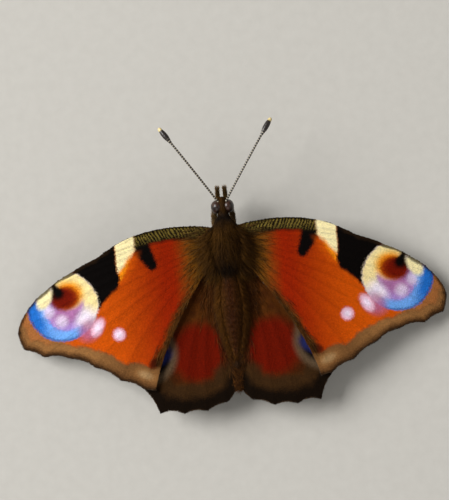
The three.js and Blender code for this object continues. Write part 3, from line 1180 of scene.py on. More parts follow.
@dataclass(frozen=True)
class HindwingMarks(Marks):
    """The upper face of a hindwing: brown, with a dark red field, a grey-brown border and an eyespot."""

    ground: str = "#3C1B05"
    vein_shade: float = -0.14
    gold: str = "#5A310A"
    grey: str = "#35230F"
    rim: str = "#0A0502"
    blue: str = "#262B62"
    red_field: Dab = Dab("#620F00", (5.15, 14.5), (3.75, 4.05), -12, 0.26)
    eyespot: tuple[Dab, ...] = (
        Dab("#5E4C38", (12.4, 14.1), (4.3, 4.2), 0, 0.14, 0.9),
        Dab("#0B0808", (12.4, 14.1), (3.4, 3.2), 0, 0.14),
        Dab(blue, (10.8, 14.6), (1.9, 1.15), 20, 0.45, 0.9),
        Dab(blue, (13.2, 15.4), (1.2, 0.8), 20, 0.45, 0.9),
        Dab(blue, (13.0, 12.6), (1.1, 0.7), 20, 0.45, 0.9),
    )

    def draw(self, art: Canvas) -> None:
        """Paint the gold dust, the red field, the border and the eyespot.

        Args:
            art: The places and their colours.
        """
        art.ripple((0.6, 1.2, 8), (0.3, 0.45, 9))
        art.paint(self.gold, 0.6 * art.noise(0.9, 10))
        art.dab(self.red_field, shift=0.4 * art.wavy)
        art.paint(self.grey, 0.85 * (1 - smooth(3.0, 4.2, art.outer + art.wavy)))
        art.paint(self.rim, 0.92 * (1 - smooth(1.0, 2.4, art.outer + art.wavy)))
        for dab in self.eyespot:
            art.dab(dab)


@dataclass(frozen=True)
class UndersideMarks(Marks):
    """The under face of both wings: charcoal, finely barred, like scorched bark."""

    ground: str = "#2E2621"
    vein_shade: float = 0.25
    line: str = "#0F0B09"
    ash: str = "#5E5042"
    edge: str = "#43382E"
    wave_mm: float = 0.85

    def draw(self, art: Canvas) -> None:
        """Paint waves that run with the outer margin, broken by noise.

        Args:
            art: The places and their colours.
        """
        bend = 2.2 * art.noise(1.6, 21) + 0.8 * art.noise(0.5, 22)
        wave = 0.5 + 0.5 * np.sin(2 * np.pi * (art.outer + bend) / self.wave_mm)
        art.paint(self.ash, 0.55 * art.noise(2.4, 23) * wave)
        art.paint(self.line, 0.8 * smooth(0.7, 0.95, wave))
        band = smooth(0.3, 0.7, art.outer) * (1 - smooth(2.2, 3.0, art.outer + 0.4 * bend))
        art.paint(self.edge, 0.7 * band)


@dataclass(frozen=True)
class Wing:
    """One wing: a thin closed membrane, scales on both faces, hair near the root and a fringe."""

    name: str
    plan: WingPlan
    marks: Marks
    steps: tuple[int, int] = (12, 120)  # mesh steps between two columns, and from root to margin
    half_thickness: float = 0.06
    vein_height: float = 0.06
    pleat: float = 0.11  # how far the membrane sags between two veins
    scale: Scale = Scale(0.3, 0.2)
    scale_pitch: float = 0.15
    under_pitch: float = 0.22
    row_pitch: float = 1.25  # from row to row, in pitches
    scaled_length: float = 22  # the way from root to margin that the rows share out
    scaled_span: tuple[float, float] = (0.005, 0.992)  # the shares of it between which scales grow
    fringe: Hair = Hair(0.34, 0.075, 4, 0.0, 9, 0.25)
    fringe_hairs: int = 1500
    fringe_pale: str = "#5A432C"
    base_hair: Hair = Hair(1.6, 0.065, 12, 0.18, 10, 0.45)
    inner_hair: Hair = Hair(1.25, 0.06, 5, 0.08, 16, 0.4)
    inner_hairs: int = 0
    base_hairs: int = 2600
    hair_reach: float = 6.4
    map_span: tuple[float, float] = (31, 28)  # the plan's width and depth on the bake map
    map_front: float = -4.5  # the foremost place on it
    hair_dark: str = "#2C1706"
    hair_gold: str = "#755322"

    def height(self, spot: Array, ridge: Array, u: Array, v: Array, face: Face) -> Array:
        """Height of a face: the sheet's, less the wing's lowering and sag, then out by membrane and vein.

        The sag between two columns is pleat · sin²(πu), growing from the root and fading at the margin.

        Args:
            spot: Places in plan.
            ridge: How near each place is to a vein.
            u: Column counts.
            v: Shares of the way to the margin.
            face: The upper or the under face.

        Returns:
            The heights.
        """
        thick = self.half_thickness * (1 - 0.55 * smooth(0.93, 1.0, v))
        sag = self.pleat * np.sin(np.pi * u) ** 2 * smooth(0.15, 0.7, v) * (1 - 0.5 * smooth(0.85, 1.0, v))
        middle = self.plan.sheet.at(*spot.T) - self.plan.lowered - sag
        return middle + face.value * (thick + self.vein_height * ridge * (1 - 0.6 * v))

    def bake_place(self, x: Array, y: Array, face: Face) -> Array:
        """Places on the bake map: the plan, the upper face in its lower half and the under face above.

        Args:
            x: Places across.
            y: Places back.
            face: The upper or the under face.

        Returns:
            One map place a row.
        """
        above = 0.0 if face is Face.UPPER else 0.5
        width, depth = self.map_span
        return np.stack([0.01 + 0.96 * x / width, above + 0.01 + 0.47 * (y - self.map_front) / depth], -1)

    def membrane(self) -> Shape:
        """Build the membrane, with both faces on one grid of u and v and a wall round the edge.

        Returns:
            The closed shape.
        """
        us = np.linspace(0, self.plan.last, self.plan.last * self.steps[0] + 1)
        vs = np.linspace(0, 1, self.steps[1] + 1)
        u, v = (g.ravel() for g in np.meshgrid(us, vs, indexing="ij"))
        spot, ridge = self.plan.place(u, v)
        x, y = spot.T
        grid = np.arange(len(u)).reshape(len(us), len(vs))
        points, tints, bakes = [], [], []
        for face, marks in ((Face.UPPER, self.marks), (Face.UNDER, UndersideMarks())):
            points.append(np.stack([x, y, self.height(spot, ridge, u, v, face)], -1))
            tints.append(marks.tint(self.plan, x, y, ridge))
            bakes.append(self.bake_place(x, y, face))
        rim = np.concatenate([grid[:, 0], grid[-1, 1:], grid[-2::-1, -1], grid[0, -2:0:-1]])
        after = np.roll(rim, -1)
        below = len(u)
        wall = np.stack([after, rim, rim + below, after + below], -1)
        quads = np.concatenate([sheet_of(grid)[:, ::-1], sheet_of(grid + below), wall[:, ::-1]])
        bake_quads = quads.copy()
        bake_quads[-len(wall) :] %= below
        shape = Shape(np.concatenate(points), quads, tint=np.concatenate(tints), bake=np.concatenate(bakes))
        return replace(shape, bake_quads=bake_quads)

    def rooted(self, u: Array, v: Array, face: Face) -> Roots:
        """Roots on a face, lying the way that the columns run.

        Args:
            u: Column counts.
            v: Shares of the way to the margin.
            face: The upper or the under face.

        Returns:
            The roots, tinted by the face's marks.
        """
        spot, ridge = self.plan.place(u, v)
        ahead, _ = self.plan.place(u, np.clip(v + 0.01, 0, 1.02))
        lie = np.hstack([ahead - spot, np.zeros((len(u), 1))])
        x, y = spot.T
        step = 0.05
        sheet = self.plan.sheet
        slope_x = (sheet.at(x + step, y) - sheet.at(x, y)) / step
        slope_y = (sheet.at(x, y + step) - sheet.at(x, y)) / step
        normals = face.value * np.stack([-slope_x, -slope_y, np.ones_like(x)], -1)
        lie[:, 2] = slope_x * lie[:, 0] + slope_y * lie[:, 1]
        marks = self.marks if face is Face.UPPER else UndersideMarks()
        places = np.stack([x, y, self.height(spot, ridge, u, v, face)], -1)
        return Roots(places, normals, lie, marks.tint(self.plan, x, y, ridge), self.bake_place(x, y, face))

    def scales(self, face: Face, seed: int) -> Shape:
        """Scales in rows that run across the wing, each row a pitch further out.

        Args:
            face: The upper or the under face.
            seed: Picks the strays.

        Returns:
            One shape with every scale of the face.
        """
        rng = np.random.default_rng(seed)
        pitch = self.scale_pitch if face is Face.UPPER else self.under_pitch
        rows = int(self.scaled_length / (self.row_pitch * pitch))
        us, vs = [], []
        fine = np.linspace(0, self.plan.last, self.plan.last * 8 + 1)
        for row in range(rows):
            v = (row + 0.5) / rows
            spot, _ = self.plan.place(fine, np.full_like(fine, v))
            run = np.concatenate([[0], np.cumsum(np.linalg.norm(np.diff(spot, axis=0), axis=1))])
            count = max(int(run[-1] / pitch), 2)
            even = (np.arange(count) + 0.5 * (row % 2) + rng.uniform(-0.2, 0.2, count)) * run[-1] / count
            us.append(np.interp(even, run, fine))
            vs.append(np.full(count, v) + rng.uniform(-0.3, 0.3, count) / rows)
        u = np.clip(np.concatenate(us), 0, self.plan.last)
        v = np.clip(np.concatenate(vs), *self.scaled_span)
        length = self.scale.length * pitch / self.scale_pitch
        width = self.scale.width * pitch / self.scale_pitch
        return Scale(length, width).grow(self.rooted(u, v, face), seed + 1)

    def edging(self, seed: int) -> Shape:
        """The fringe: short flat hairs in the sheet, all round the outer margin.

        Args:
            seed: Picks the strays.

        Returns:
            One shape with the whole fringe.
        """
        rng = np.random.default_rng(seed)
        u = np.sort(rng.uniform(self.plan.apex - 0.6, self.plan.last, self.fringe_hairs))
        roots = self.rooted(u, np.full_like(u, 0.997), Face.UPPER)
        roots.places[:, 2] -= 0.4 * self.half_thickness + rng.uniform(-0.03, 0.03, len(u))
        f = u - np.floor(u)
        pale = 0.35 + 0.65 * smooth(0.1, 0.35, np.minimum(f, 1 - f))
        tint = roots.tint * 0.6 + linear(self.fringe_pale) * 0.6 * pale[:, None]
        return self.fringe.grow(replace(roots, tint=tint), seed + 1)

    def root_hair(self, seed: int) -> Shape:
        """Long hair over the root of the wing and along its inner edge, lying outwards.

        Args:
            seed: Picks the places and the strays.

        Returns:
            One shape with every hair.
        """
        rng = np.random.default_rng(seed)
        u = rng.uniform(0.2, self.plan.last - 0.05, self.base_hairs * 8)
        v = rng.uniform(0.02, 0.75, self.base_hairs * 8)
        spot, _ = self.plan.place(u, v)
        _, _, inner = self.plan.distances(*spot.T)
        near = 1 - smooth(0.45 * self.hair_reach, self.hair_reach, spot[:, 0])
        near *= 1 - smooth(7, 11, spot[:, 1])
        chance = np.maximum(near, 0.5 * (1 - smooth(0.3, 1.6, inner))) * (0.25 + v)
        keep = np.flatnonzero(rng.random(len(u)) < chance * 0.5)[: self.base_hairs]
        roots = self.rooted(u[keep], v[keep], Face.UPPER)
        tint = blend(linear(self.hair_dark), linear(self.hair_gold), rng.random(len(keep)) ** 1.5)
        return self.base_hair.grow(replace(roots, tint=0.55 * tint + 0.45 * roots.tint), seed + 1)

    def inner_fringe(self, seed: int) -> Shape:
        """Hair along the inner edge, which lies towards the body and closes the gap beside it.

        Args:
            seed: Picks the places and the strays.

        Returns:
            One shape with every hair.
        """
        rng = np.random.default_rng(seed)
        u = self.plan.last - 0.35 * rng.random(self.inner_hairs) ** 2
        roots = self.rooted(u, rng.uniform(0.22, 0.995, self.inner_hairs), Face.UPPER)
        lie = unit(roots.lie) + np.array([-0.75, 0, 0])
        tint = blend(linear(self.hair_dark), linear(self.hair_gold), rng.random(self.inner_hairs) ** 2)
        return self.inner_hair.grow(replace(roots, lie=lie, tint=tint), seed + 1)

    def build(
        self, shop: Workshop, finish: bpy.types.Material, hair: bpy.types.Material, side: Side
    ) -> None:
        """Make the wing's pieces.

        Args:
            shop: Where pieces are made.
            finish: The scales' material.
            hair: The hair's material.
            side: The side of the body.
        """
        label = f"{self.name}_{side.label}"
        seed = 100 + 10 * side.value + len(self.plan.columns)
        shop.piece(f"{label}_membrane", self.membrane().mirrored(side), finish, [label])
        for face in Face:
            shape = self.scales(face, seed + face.value)
            shop.piece(f"{label}_scales_{face.name.lower()}", shape.mirrored(side), finish)
        shop.piece(f"{label}_fringe", self.edging(seed + 3).mirrored(side), hair)
        shop.piece(f"{label}_root_hair", self.root_hair(seed + 5).mirrored(side), hair)
        if self.inner_hairs:
            shop.piece(f"{label}_inner_fringe", self.inner_fringe(seed + 7).mirrored(side), hair)


@dataclass(frozen=True)
class Coat:
    """One kind of hair on a length of the body: all round it, or only on the flanks, where it leans out."""

    name: str
    hair: Hair
    span: tuple[float, float]
    count: int
    outward: float = 0.0  # how much of the lie is away from the body
    flank: float | None = None  # degrees above and below the side that the coat reaches


@dataclass(frozen=True)
class Body:
    """Head, thorax and abdomen under one skin, with hair of three lengths over it."""

    # stations from the face to the tail: back, half width, rise, drop and the middle's height
    stations: tuple[tuple[float, float, float, float, float], ...] = (
        (-6.72, 0.05, 0.05, 0.05, 6.28),
        (-6.5, 0.52, 0.78, 0.82, 6.3),
        (-5.9, 0.74, 1.08, 1.1, 6.3),
        (-5.0, 0.78, 1.1, 1.1, 6.28),
        (-4.2, 0.74, 0.86, 0.9, 6.22),
        (-3.6, 0.95, 1.0, 1.0, 6.2),
        (-2.9, 1.45, 1.55, 1.5, 6.2),
        (-1.8, 1.92, 2.02, 2.0, 6.18),
        (0.0, 2.15, 2.24, 2.28, 6.16),
        (1.8, 2.05, 2.08, 2.2, 6.12),
        (3.3, 1.62, 1.6, 1.75, 6.05),
        (4.6, 1.22, 1.24, 1.3, 5.93),
        (6.4, 1.42, 1.4, 1.48, 5.78),
        (8.4, 1.6, 1.57, 1.66, 5.56),
        (10.6, 1.46, 1.43, 1.52, 5.28),
        (12.6, 1.12, 1.1, 1.17, 5.0),
        (14.4, 0.68, 0.68, 0.72, 4.76),
        (15.6, 0.28, 0.28, 0.3, 4.62),
        (15.86, 0.04, 0.04, 0.04, 4.6),
    )
    rings: int = 260
    sides: int = 96
    crowding: float = 0.06  # how much closer the rings stand at the two ends
    shade: float = 0.7  # painted shade: how dark the skin is drawn, under its hair
    segments: int = 8
    waist: float = 4.6
    tail: float = 15.86
    brown: str = "#241203"
    gold: str = "#5E3D0E"
    dark: str = "#080301"
    tail_brown: str = "#451C03"
    belly: str = "#33261A"
    coats: tuple[Coat, ...] = (
        Coat("face_hair", Hair(0.55, 0.05, 44, 0.25, 24), (-6.6, -4.0), 3800),
        Coat("collar_hair", Hair(1.35, 0.065, 28, 0.3, 18), (-4.5, -1.6), 3600),
        Coat("thorax_hair", Hair(1.75, 0.07, 20, 0.3, 14, 0.45), (-2.4, 4.2), 9000),
        Coat("abdomen_hair", Hair(0.7, 0.06, 12, 0.2, 12), (3.9, 15.7), 8500),
        Coat("shoulder_hair", Hair(2.3, 0.07, 16, 0.25, 15, 0.45), (-2.6, 3.6), 3600, 0.9, 38),
        Coat("flank_hair", Hair(1.25, 0.065, 8, 0.15, 12, 0.4), (3.6, 14.8), 4600, 0.7, 34),
        Coat("tail_hair", Hair(1.7, 0.06, 5, 0.04, 10, 0.4), (14.6, 15.75), 900),
    )

    def section(self, y: Array) -> Array:
        """Half width, rise, drop and middle height, by smooth steps between stations.

        Args:
            y: Places back.

        Returns:
            One row a place.
        """
        table = np.array(self.stations)
        fine = np.linspace(0, 1, 2 * len(table) * 8)
        dense = curve(table, len(fine))
        out = np.stack([np.interp(y, dense[:, 0], dense[:, k]) for k in range(1, 5)], -1)
        within = (np.clip((y - self.waist) / (self.tail - self.waist), 0, 0.999) * self.segments) % 1
        tuck = 1 - 0.055 * smooth(0.72, 1.0, within) * smooth(self.waist, self.waist + 1, y)
        out[:, :3] *= tuck[:, None]
        return out

    def at(self, y: Array, turn: Array) -> Array:
        """Skin points: x = width · cos a, z = middle + (rise or drop) · sin a.

        Args:
            y: Places back.
            turn: Angles a, in radians, from the left side upwards.

        Returns:
            One point a row.
        """
        width, rise, drop, middle = self.section(y).T
        up = np.sin(turn)
        return np.stack([width * np.cos(turn), y, middle + np.where(up > 0, rise, drop) * up], -1)

    def tint(self, y: Array, turn: Array) -> Array:
        """The coat's colour: gold and brown, dark on the neck and behind the wings, and grey below.

        Args:
            y: Places back.
            turn: Angles round the body.

        Returns:
            One linear colour a place.
        """
        side = np.abs(np.cos(turn))
        golden = 0.2 + 0.5 * cloud(y, 3 * turn, 0.9, 31) + 0.35 * side * (y > 3)
        c = blend(linear(self.brown), linear(self.gold), np.clip(golden, 0, 1))
        c = blend(c, linear(self.dark), 0.85 * np.exp(-(((y + 3.7) / 0.9) ** 2)))
        c = blend(c, linear(self.tail_brown), 0.75 * smooth(4.0, 5.2, y) * (1 - 0.6 * side))
        patch = np.exp(-(((y - 2.9) / 1.45) ** 2)) * smooth(0.25, 0.8, np.sin(turn))
        c = blend(c, linear(self.dark), 0.95 * patch)
        return blend(c, linear(self.belly), 0.7 * smooth(0.2, 0.8, -np.sin(turn)))

    def bake_place(self, y: Array, turn: Array) -> Array:
        """Places on the bake map: length along one side and the angle up the other."""
        low, high = self.stations[0][0], self.tail
        return 0.005 + 0.985 * np.stack([(y - low) / (high - low), (turn % (2 * np.pi)) / (2 * np.pi)], -1)

    def skin(self) -> Shape:
        """Build the skin over the whole body.

        Returns:
            The closed shape.
        """
        t = (np.arange(self.rings) + 0.5) / self.rings
        low, overshoot = self.stations[0][0], 0.02
        y = low + (self.tail - low) * (t - self.crowding * np.sin(2 * np.pi * t) / np.pi)
        turn = np.linspace(0, 2 * np.pi, self.sides, endpoint=False)
        yy, aa = (g.ravel() for g in np.meshgrid(y, turn, indexing="ij"))
        rings = self.at(yy, aa).reshape(self.rings, self.sides, 3)
        start = np.array([0, low - overshoot, self.stations[0][4]])
        end = np.array([0, self.tail + overshoot, self.stations[-1][4]])
        shape = closed_skin(rings[:, ::-1], start, end)
        tint = self.tint(yy, aa).reshape(self.rings, self.sides, 3)[:, ::-1].reshape(-1, 3)
        # painted shade: the skin is darkened where its hair covers it
        shape.tint = self.shade * np.concatenate([tint, tint[:1], tint[-1:]])
        return shape

    def roots(self, coat: Coat, seed: int) -> Roots:
        """Random roots over a length of the body, as many on each bit of skin as its width calls for.

        Args:
            coat: The kind of hair.
            seed: Picks the places.

        Returns:
            The roots, lying to the rear and, on the flanks, outwards.
        """
        rng = np.random.default_rng(seed)
        fine = np.linspace(*coat.span, 400)
        weight = np.cumsum(self.section(fine)[:, 0] + 0.05)
        share = (weight - weight[0]) / (weight[-1] - weight[0])
        y = np.interp(rng.random(coat.count), share, fine)
        turn = rng.uniform(0, 2 * np.pi, coat.count)
        if coat.flank is not None:
            side = np.pi * rng.integers(0, 2, coat.count)
            turn = side + np.radians(coat.flank) * rng.uniform(-0.6, 1, coat.count) * np.cos(side)
        places = self.at(y, turn)
        along = unit(self.at(y + 0.25, turn) - self.at(y - 0.25, turn))
        normals = unit(np.cross(self.at(y, turn + 0.02) - places, along))
        away = np.stack([np.sign(places[:, 0]), np.zeros_like(y), np.zeros_like(y)], -1)
        lie = along + coat.outward * away
        return Roots(places, normals, lie, self.tint(y, turn), self.bake_place(y, turn))

    def build(self, shop: Workshop, finishes: Finishes) -> None:
        """Make the skin and its coats.

        Args:
            shop: Where pieces are made.
            finishes: The materials.
        """
        shop.piece("body_skin", self.skin(), finishes.hair, ["head", "thorax", "abdomen"])
        for seed, coat in enumerate(self.coats, 41):
            shop.piece(coat.name, coat.hair.grow(self.roots(coat, seed), seed + 20), finishes.hair)


@dataclass(frozen=True)
class Head:
    """What the head carries: eyes, palps, a coiled tongue and two clubbed antennae."""

    eye_centre: tuple[float, float, float] = (0.78, -5.3, 6.35)
    eye_radii: tuple[float, float, float] = (0.84, 0.96, 1.12)
    palp_path: tuple[tuple[float, float, float], ...] = (
        (0.42, -5.45, 5.2),
        (0.55, -6.7, 5.2),
        (0.5, -8.0, 6.4),
    )
    palp_radius: float = 0.24
    palp_brown: str = "#2A1A0D"
    palp_hair: Hair = Hair(0.38, 0.04, 34, 0.2, 18)
    palp_hairs: int = 900
    palp_hair_colours: tuple[str, str] = ("#3A2512", "#8A6A34")
    coil_middle: tuple[float, float] = (-5.8, 3.66)
    coil_reach: float = 0.76
    coil_turns: float = 2.4
    mouth: tuple[float, float, float] = (0, -5.05, 5.3)
    tongue: float = 0.13
    tongue_brown: str = "#3A2414"
    antenna_root: tuple[float, float, float] = (0.4, -5.7, 6.95)
    antenna_length: float = 13.4
    antenna_radius: float = 0.14
    club_radius: float = 0.38
    club_length: float = 2.1
    spread: float = 34
    rise: float = 26
    droop: float = 34
    rings: int = 36
    shaft: str = "#1C120C"
    band: str = "#C9BFA8"
    tip: str = "#D8C48A"

    def eye(self) -> Shape:
        """Build an ellipsoid from two angles: centre + radii · (cos b cos a, cos b sin a, sin b).

        Returns:
            The closed eye.
        """
        sides, levels, highest = 48, 36, 87
        a = np.linspace(0, 2 * np.pi, sides, endpoint=False)
        b = np.radians(np.linspace(-highest, highest, levels))
        bb, aa = np.meshgrid(b, a, indexing="ij")
        ball = np.stack([np.cos(bb) * np.cos(aa), np.cos(bb) * np.sin(aa), np.sin(bb)], -1)
        centre, radii = np.array(self.eye_centre), np.array(self.eye_radii)
        return closed_skin(centre + ball * radii, centre - (0, 0, radii[2]), centre + (0, 0, radii[2]))

    def palp(self) -> tuple[Shape, Roots]:
        """Build a palp, thinner towards its tip.

        Returns:
            The palp, and the roots of its hair.
        """
        path = curve(self.palp_path, 40)
        t = np.linspace(0, 1, len(path))
        shape = swept(path, self.palp_radius * (1 - 0.55 * t**3), 20, (1, 0, 0))
        shape.tint = np.tile(linear(self.palp_brown), (len(shape.points), 1))
        rng = np.random.default_rng(61)
        s = rng.uniform(0.05, 1, self.palp_hairs)
        a = rng.uniform(0, 2 * np.pi, self.palp_hairs)
        centre = np.stack([np.interp(s, t, path[:, k]) for k in range(3)], -1)
        way = np.stack([np.interp(s, t, np.gradient(path[:, k])) for k in range(3)], -1)
        side = unit(np.cross(way, (1.0, 0, 0)))
        out = side * np.cos(a)[:, None] + unit(np.cross(side, way)) * np.sin(a)[:, None]
        dark, gold = (linear(colour) for colour in self.palp_hair_colours)
        tint = blend(dark, gold, rng.random(self.palp_hairs))
        bake = 0.01 + 0.97 * np.stack([s, a / (2 * np.pi)], -1)
        return shape, Roots(centre + out * 0.22, out, way, tint, bake)

    def proboscis(self) -> Shape:
        """Build the tongue: a stem from the mouth, then a spiral whose reach shrinks evenly with its turns.

        Returns:
            The closed tongue.
        """
        t = np.linspace(0, 1, 130)
        turn = 0.05 * np.pi - 2 * np.pi * self.coil_turns * t
        reach = self.coil_reach * (1 - 0.82 * t)
        back, up = self.coil_middle
        coil = np.stack([np.zeros_like(turn), back + reach * np.cos(turn), up + reach * np.sin(turn)], -1)
        stem = np.linspace(self.mouth, coil[0], 14)[:-1]
        path = np.concatenate([stem, coil])
        thin = 1 - 0.35 * np.linspace(0, 1, len(path))
        radii = self.tongue * thin * (1 + 0.05 * np.cos(np.arange(len(path)) * 2.1))
        shape = swept(path, radii, 14, (1, 0, 0))
        shape.tint = np.tile(linear(self.tongue_brown), (len(shape.points), 1))
        return shape

    def antenna(self) -> Shape:
        """Build an antenna with pale rings and a pale-tipped club: its climb falls evenly by the droop.

        Returns:
            The closed antenna.
        """
        count, sides, cap = self.rings * 10, 16, 4
        t = np.linspace(0, 1, count)
        climb = np.radians(self.rise - self.droop * t)
        spread = math.radians(self.spread)
        step = self.antenna_length / (count - 1)
        level = np.cos(climb)
        way = np.stack([level * math.sin(spread), -level * math.cos(spread), np.sin(climb)], -1)
        run = np.concatenate([np.zeros((1, 3)), np.cumsum(way * step, 0)[:-1]])
        path = np.array(self.antenna_root) + run
        club = np.clip(1 - (1 - t) * self.antenna_length / self.club_length, -1, 1)
        swell = smooth(-0.35, 0.4, club) * (1 - 0.45 * smooth(0.55, 1.0, club))
        ring = (t * self.rings) % 1
        radii = self.antenna_radius * (1 + 0.1 * np.sin(np.pi * ring))
        radii = radii + (self.club_radius - self.antenna_radius) * swell
        shape = swept(path, radii, sides, (0, 0, 1), cap)
        pale = (1 - smooth(0.16, 0.3, ring)) * (1 - smooth(0.0, 0.2, club))
        colour = blend(linear(self.shaft), linear(self.band), pale)
        colour = blend(colour, linear(self.tip), smooth(0.82, 0.92, club))
        capped = np.concatenate([np.repeat(colour[:1], cap, 0), colour, np.repeat(colour[-1:], cap, 0)])
        shape.tint = np.concatenate([np.repeat(capped, sides, 0), colour[:1], colour[-1:]])
        return shape

    def build(self, shop: Workshop, finishes: Finishes) -> None:
        """Make the head's pieces on both sides, and the tongue in the middle.

        Args:
            shop: Where pieces are made.
            finishes: The materials.
        """
        shop.piece("proboscis_coil", self.proboscis(), finishes.cuticle, ["proboscis"])
        for side in Side:
            label = side.label
            shop.piece(f"eye_{label}_lens", self.eye().mirrored(side), finishes.eye, [f"eye_{label}"])
            palp, roots = self.palp()
            shop.piece(f"palp_{label}_core", palp.mirrored(side), finishes.cuticle, [f"palp_{label}"])
            hair = self.palp_hair.grow(roots, 63)
            shop.piece(f"palp_{label}_hair", hair.mirrored(side), finishes.hair)
            feeler = self.antenna().mirrored(side)
            shop.piece(f"antenna_{label}_shaft", feeler, finishes.cuticle, [f"antenna_{label}"])


@dataclass(frozen=True)
class Leg:
    """A leg: joints with a radius at each, spines along the shin and foot, and a pair of claws."""

    name: str
    joints: tuple[tuple[float, float, float, float], ...]
    beside: tuple[float, float, float]
    hairs: int = 1800
    hair: Hair = Hair(0.3, 0.05, 22, 0.1, 14)
    spine: Hair = Hair(0.42, 0.06, 38, 0.05, 6, 0.15)
    spine_counts: tuple[int, int] = (9, 10)  # along the shin and along the foot
    stands: bool = True
    bald: float = 0.16  # the height below which no hair grows
    dark: str = "#20150E"
    pale: str = "#6E5638"

    def limb(self) -> tuple[Shape, Roots]:
        """Build the limb's parts, each a tube that swells in its middle.

        Returns:
            The limb, and the roots of its hair.
        """
        rng = np.random.default_rng(len(self.name) + 70)
        stations, sides = 26, 18
        shapes, places, outs, ways = [], [], [], []
        for a, b in zip(self.joints[:-1], self.joints[1:]):
            t = np.linspace(0, 1, stations)
            path = np.outer(1 - t, a[:3]) + np.outer(t, b[:3])
            radii = (a[3] + (b[3] - a[3]) * t) * (0.86 + 0.2 * np.sin(np.pi * t**0.8))
            shapes.append(swept(path, radii, sides, self.beside))
            count = self.hairs // (len(self.joints) - 1)
            s = rng.random(count)
            turn = rng.uniform(0, 2 * np.pi, count)[:, None]
            way = unit(np.array(b[:3]) - np.array(a[:3]))
            side = unit(np.cross(way, self.beside))
            out = np.cos(turn) * side + np.sin(turn) * np.cross(side, way)
            radius = np.interp(s, t, radii)[:, None]
            places.append(np.outer(1 - s, a[:3]) + np.outer(s, b[:3]) + out * radius * 0.95)
            outs.append(out)
            ways.append(np.tile(way, (count, 1)))
        if self.stands:
            shapes += self.foot()
        shape = joined(shapes)
        if self.stands:
            shape.points[:, 2] = np.maximum(shape.points[:, 2], 0.0)
        under = smooth(-0.1, 0.4, cloud(shape.points[:, 0], shape.points[:, 1], 0.8, 77) - 0.3)
        shape.tint = blend(linear(self.dark), linear(self.pale), 0.5 * under)
        places, outs, ways = (np.concatenate(part) for part in (places, outs, ways))
        clear = places[:, 2] > self.bald if self.stands else np.ones(len(places), bool)
        tint = blend(linear(self.dark), linear(self.pale), rng.random(len(places)))
        bake = np.stack([rng.random(len(places)), rng.random(len(places))], -1) * 0.98
        return shape, Roots(places[clear], outs[clear], ways[clear], tint[clear], bake[clear])

    def spines(self) -> Shape:
        """Grow paired spines under the shin and the foot, in two rows.

        Returns:
            One shape with every spine.
        """
        places, outs, ways = [], [], []
        for a, b, count in zip(self.joints[-3:-1], self.joints[-2:], self.spine_counts):
            a, b = np.array(a), np.array(b)
            way = unit(b[:3] - a[:3])
            side = unit(np.cross(way, self.beside))
            under = unit(np.cross(side, way))
            under *= -np.sign(under[2]) or 1.0
            for share in np.linspace(0.2, 0.98, count):
                middle = a + (b - a) * share
                for lean in (-1, 1):
                    out = unit(lean * unit(np.cross(way, under)) + 0.35 * under)
                    places.append(middle[:3] + out * middle[3] * 0.8)
                    outs.append(out)
                    ways.append(way)
        places = np.array(places)
        places[:, 2] = np.maximum(places[:, 2], 0.14)
        tint = np.tile(linear(self.dark), (len(places), 1))
        bake = 0.01 + 0.97 * np.stack([np.linspace(0, 1, len(places)), np.full(len(places), 0.99)], -1)
        return self.spine.grow(Roots(places, np.array(outs), np.array(ways), tint, bake), 83)

    def foot(self) -> list[Shape]:
        """Build the foot's ringed joints and two claws, as tubes along the last part's line.

        Returns:
            Four rings and two claws.
        """
        a, b = (np.array(j[:3]) for j in self.joints[-2:])
        radius = self.joints[-1][3]
        way = unit(b - a)
        side = unit(np.cross(way, (0, 0, 1.0)))
        parts = []
        for share in (0.34, 0.55, 0.72, 0.86):
            middle = a + (b - a) * share
            path = np.stack([middle - way * 0.1, middle, middle + way * 0.1])
            parts.append(swept(path, radius * np.array([0.95, 1.12, 0.95]), 14, self.beside))
        for lean in (-1, 1):
            knuckle = b + way * 0.3 + side * lean * 0.16
            point = b + way * 0.42 + side * lean * 0.2 - (0, 0, 0.12)
            parts.append(swept(curve([b, knuckle, point], 10), np.linspace(0.09, 0.03, 10), 8, self.beside))
        return parts

    def build(self, shop: Workshop, finishes: Finishes, side: Side) -> None:
        """Make the leg's pieces.

        Args:
            shop: Where pieces are made.
            finishes: The materials.
            side: The side of the body.
        """
        label = f"{self.name}_{side.label}"
        limb, roots = self.limb()
        shop.piece(f"{label}_limb", limb.mirrored(side), finishes.leg, [label])
        coat = self.hair.grow(roots, 79)
        if self.stands:
            coat = joined([coat, self.spines()])
        shop.piece(f"{label}_hair", coat.mirrored(side), finishes.hair)


LEGS = (
    Leg(
        "midleg",
        (
            (0.9, 0.2, 4.3, 0.5),
            (1.5, 0.1, 2.95, 0.4),
            (5.7, -0.6, 4.1, 0.28),
            (9.0, -0.9, 0.3, 0.18),
            (12.3, -0.7, 0.15, 0.16),
        ),
        (0, 1, 0),
    ),
    Leg(
        "hindleg",
        (
            (0.9, 2.5, 4.3, 0.5),
            (1.4, 2.8, 2.95, 0.4),
            (4.7, 6.2, 3.85, 0.28),
            (7.2, 10.1, 0.3, 0.18),
            (8.6, 13.4, 0.15, 0.16),
        ),
        (1, -0.8, 0),
    ),
    Leg(
        "foreleg",
        ((0.85, -1.9, 4.6, 0.42), (1.35, -3.6, 3.5, 0.28), (1.15, -5.3, 3.95, 0.18)),
        (1, 0, 0),
        hairs=1400,
        hair=Hair(0.5, 0.04, 38, 0.15, 20),
        stands=False,
        dark="#2E2012",
        pale="#7A5C30",
    ),
)


@dataclass(frozen=True)
class Lamp:
    """A square soft light."""

    name: str
    place: tuple[float, float, float]
    size: float  # its side, in millimetres
    power: float  # in watts


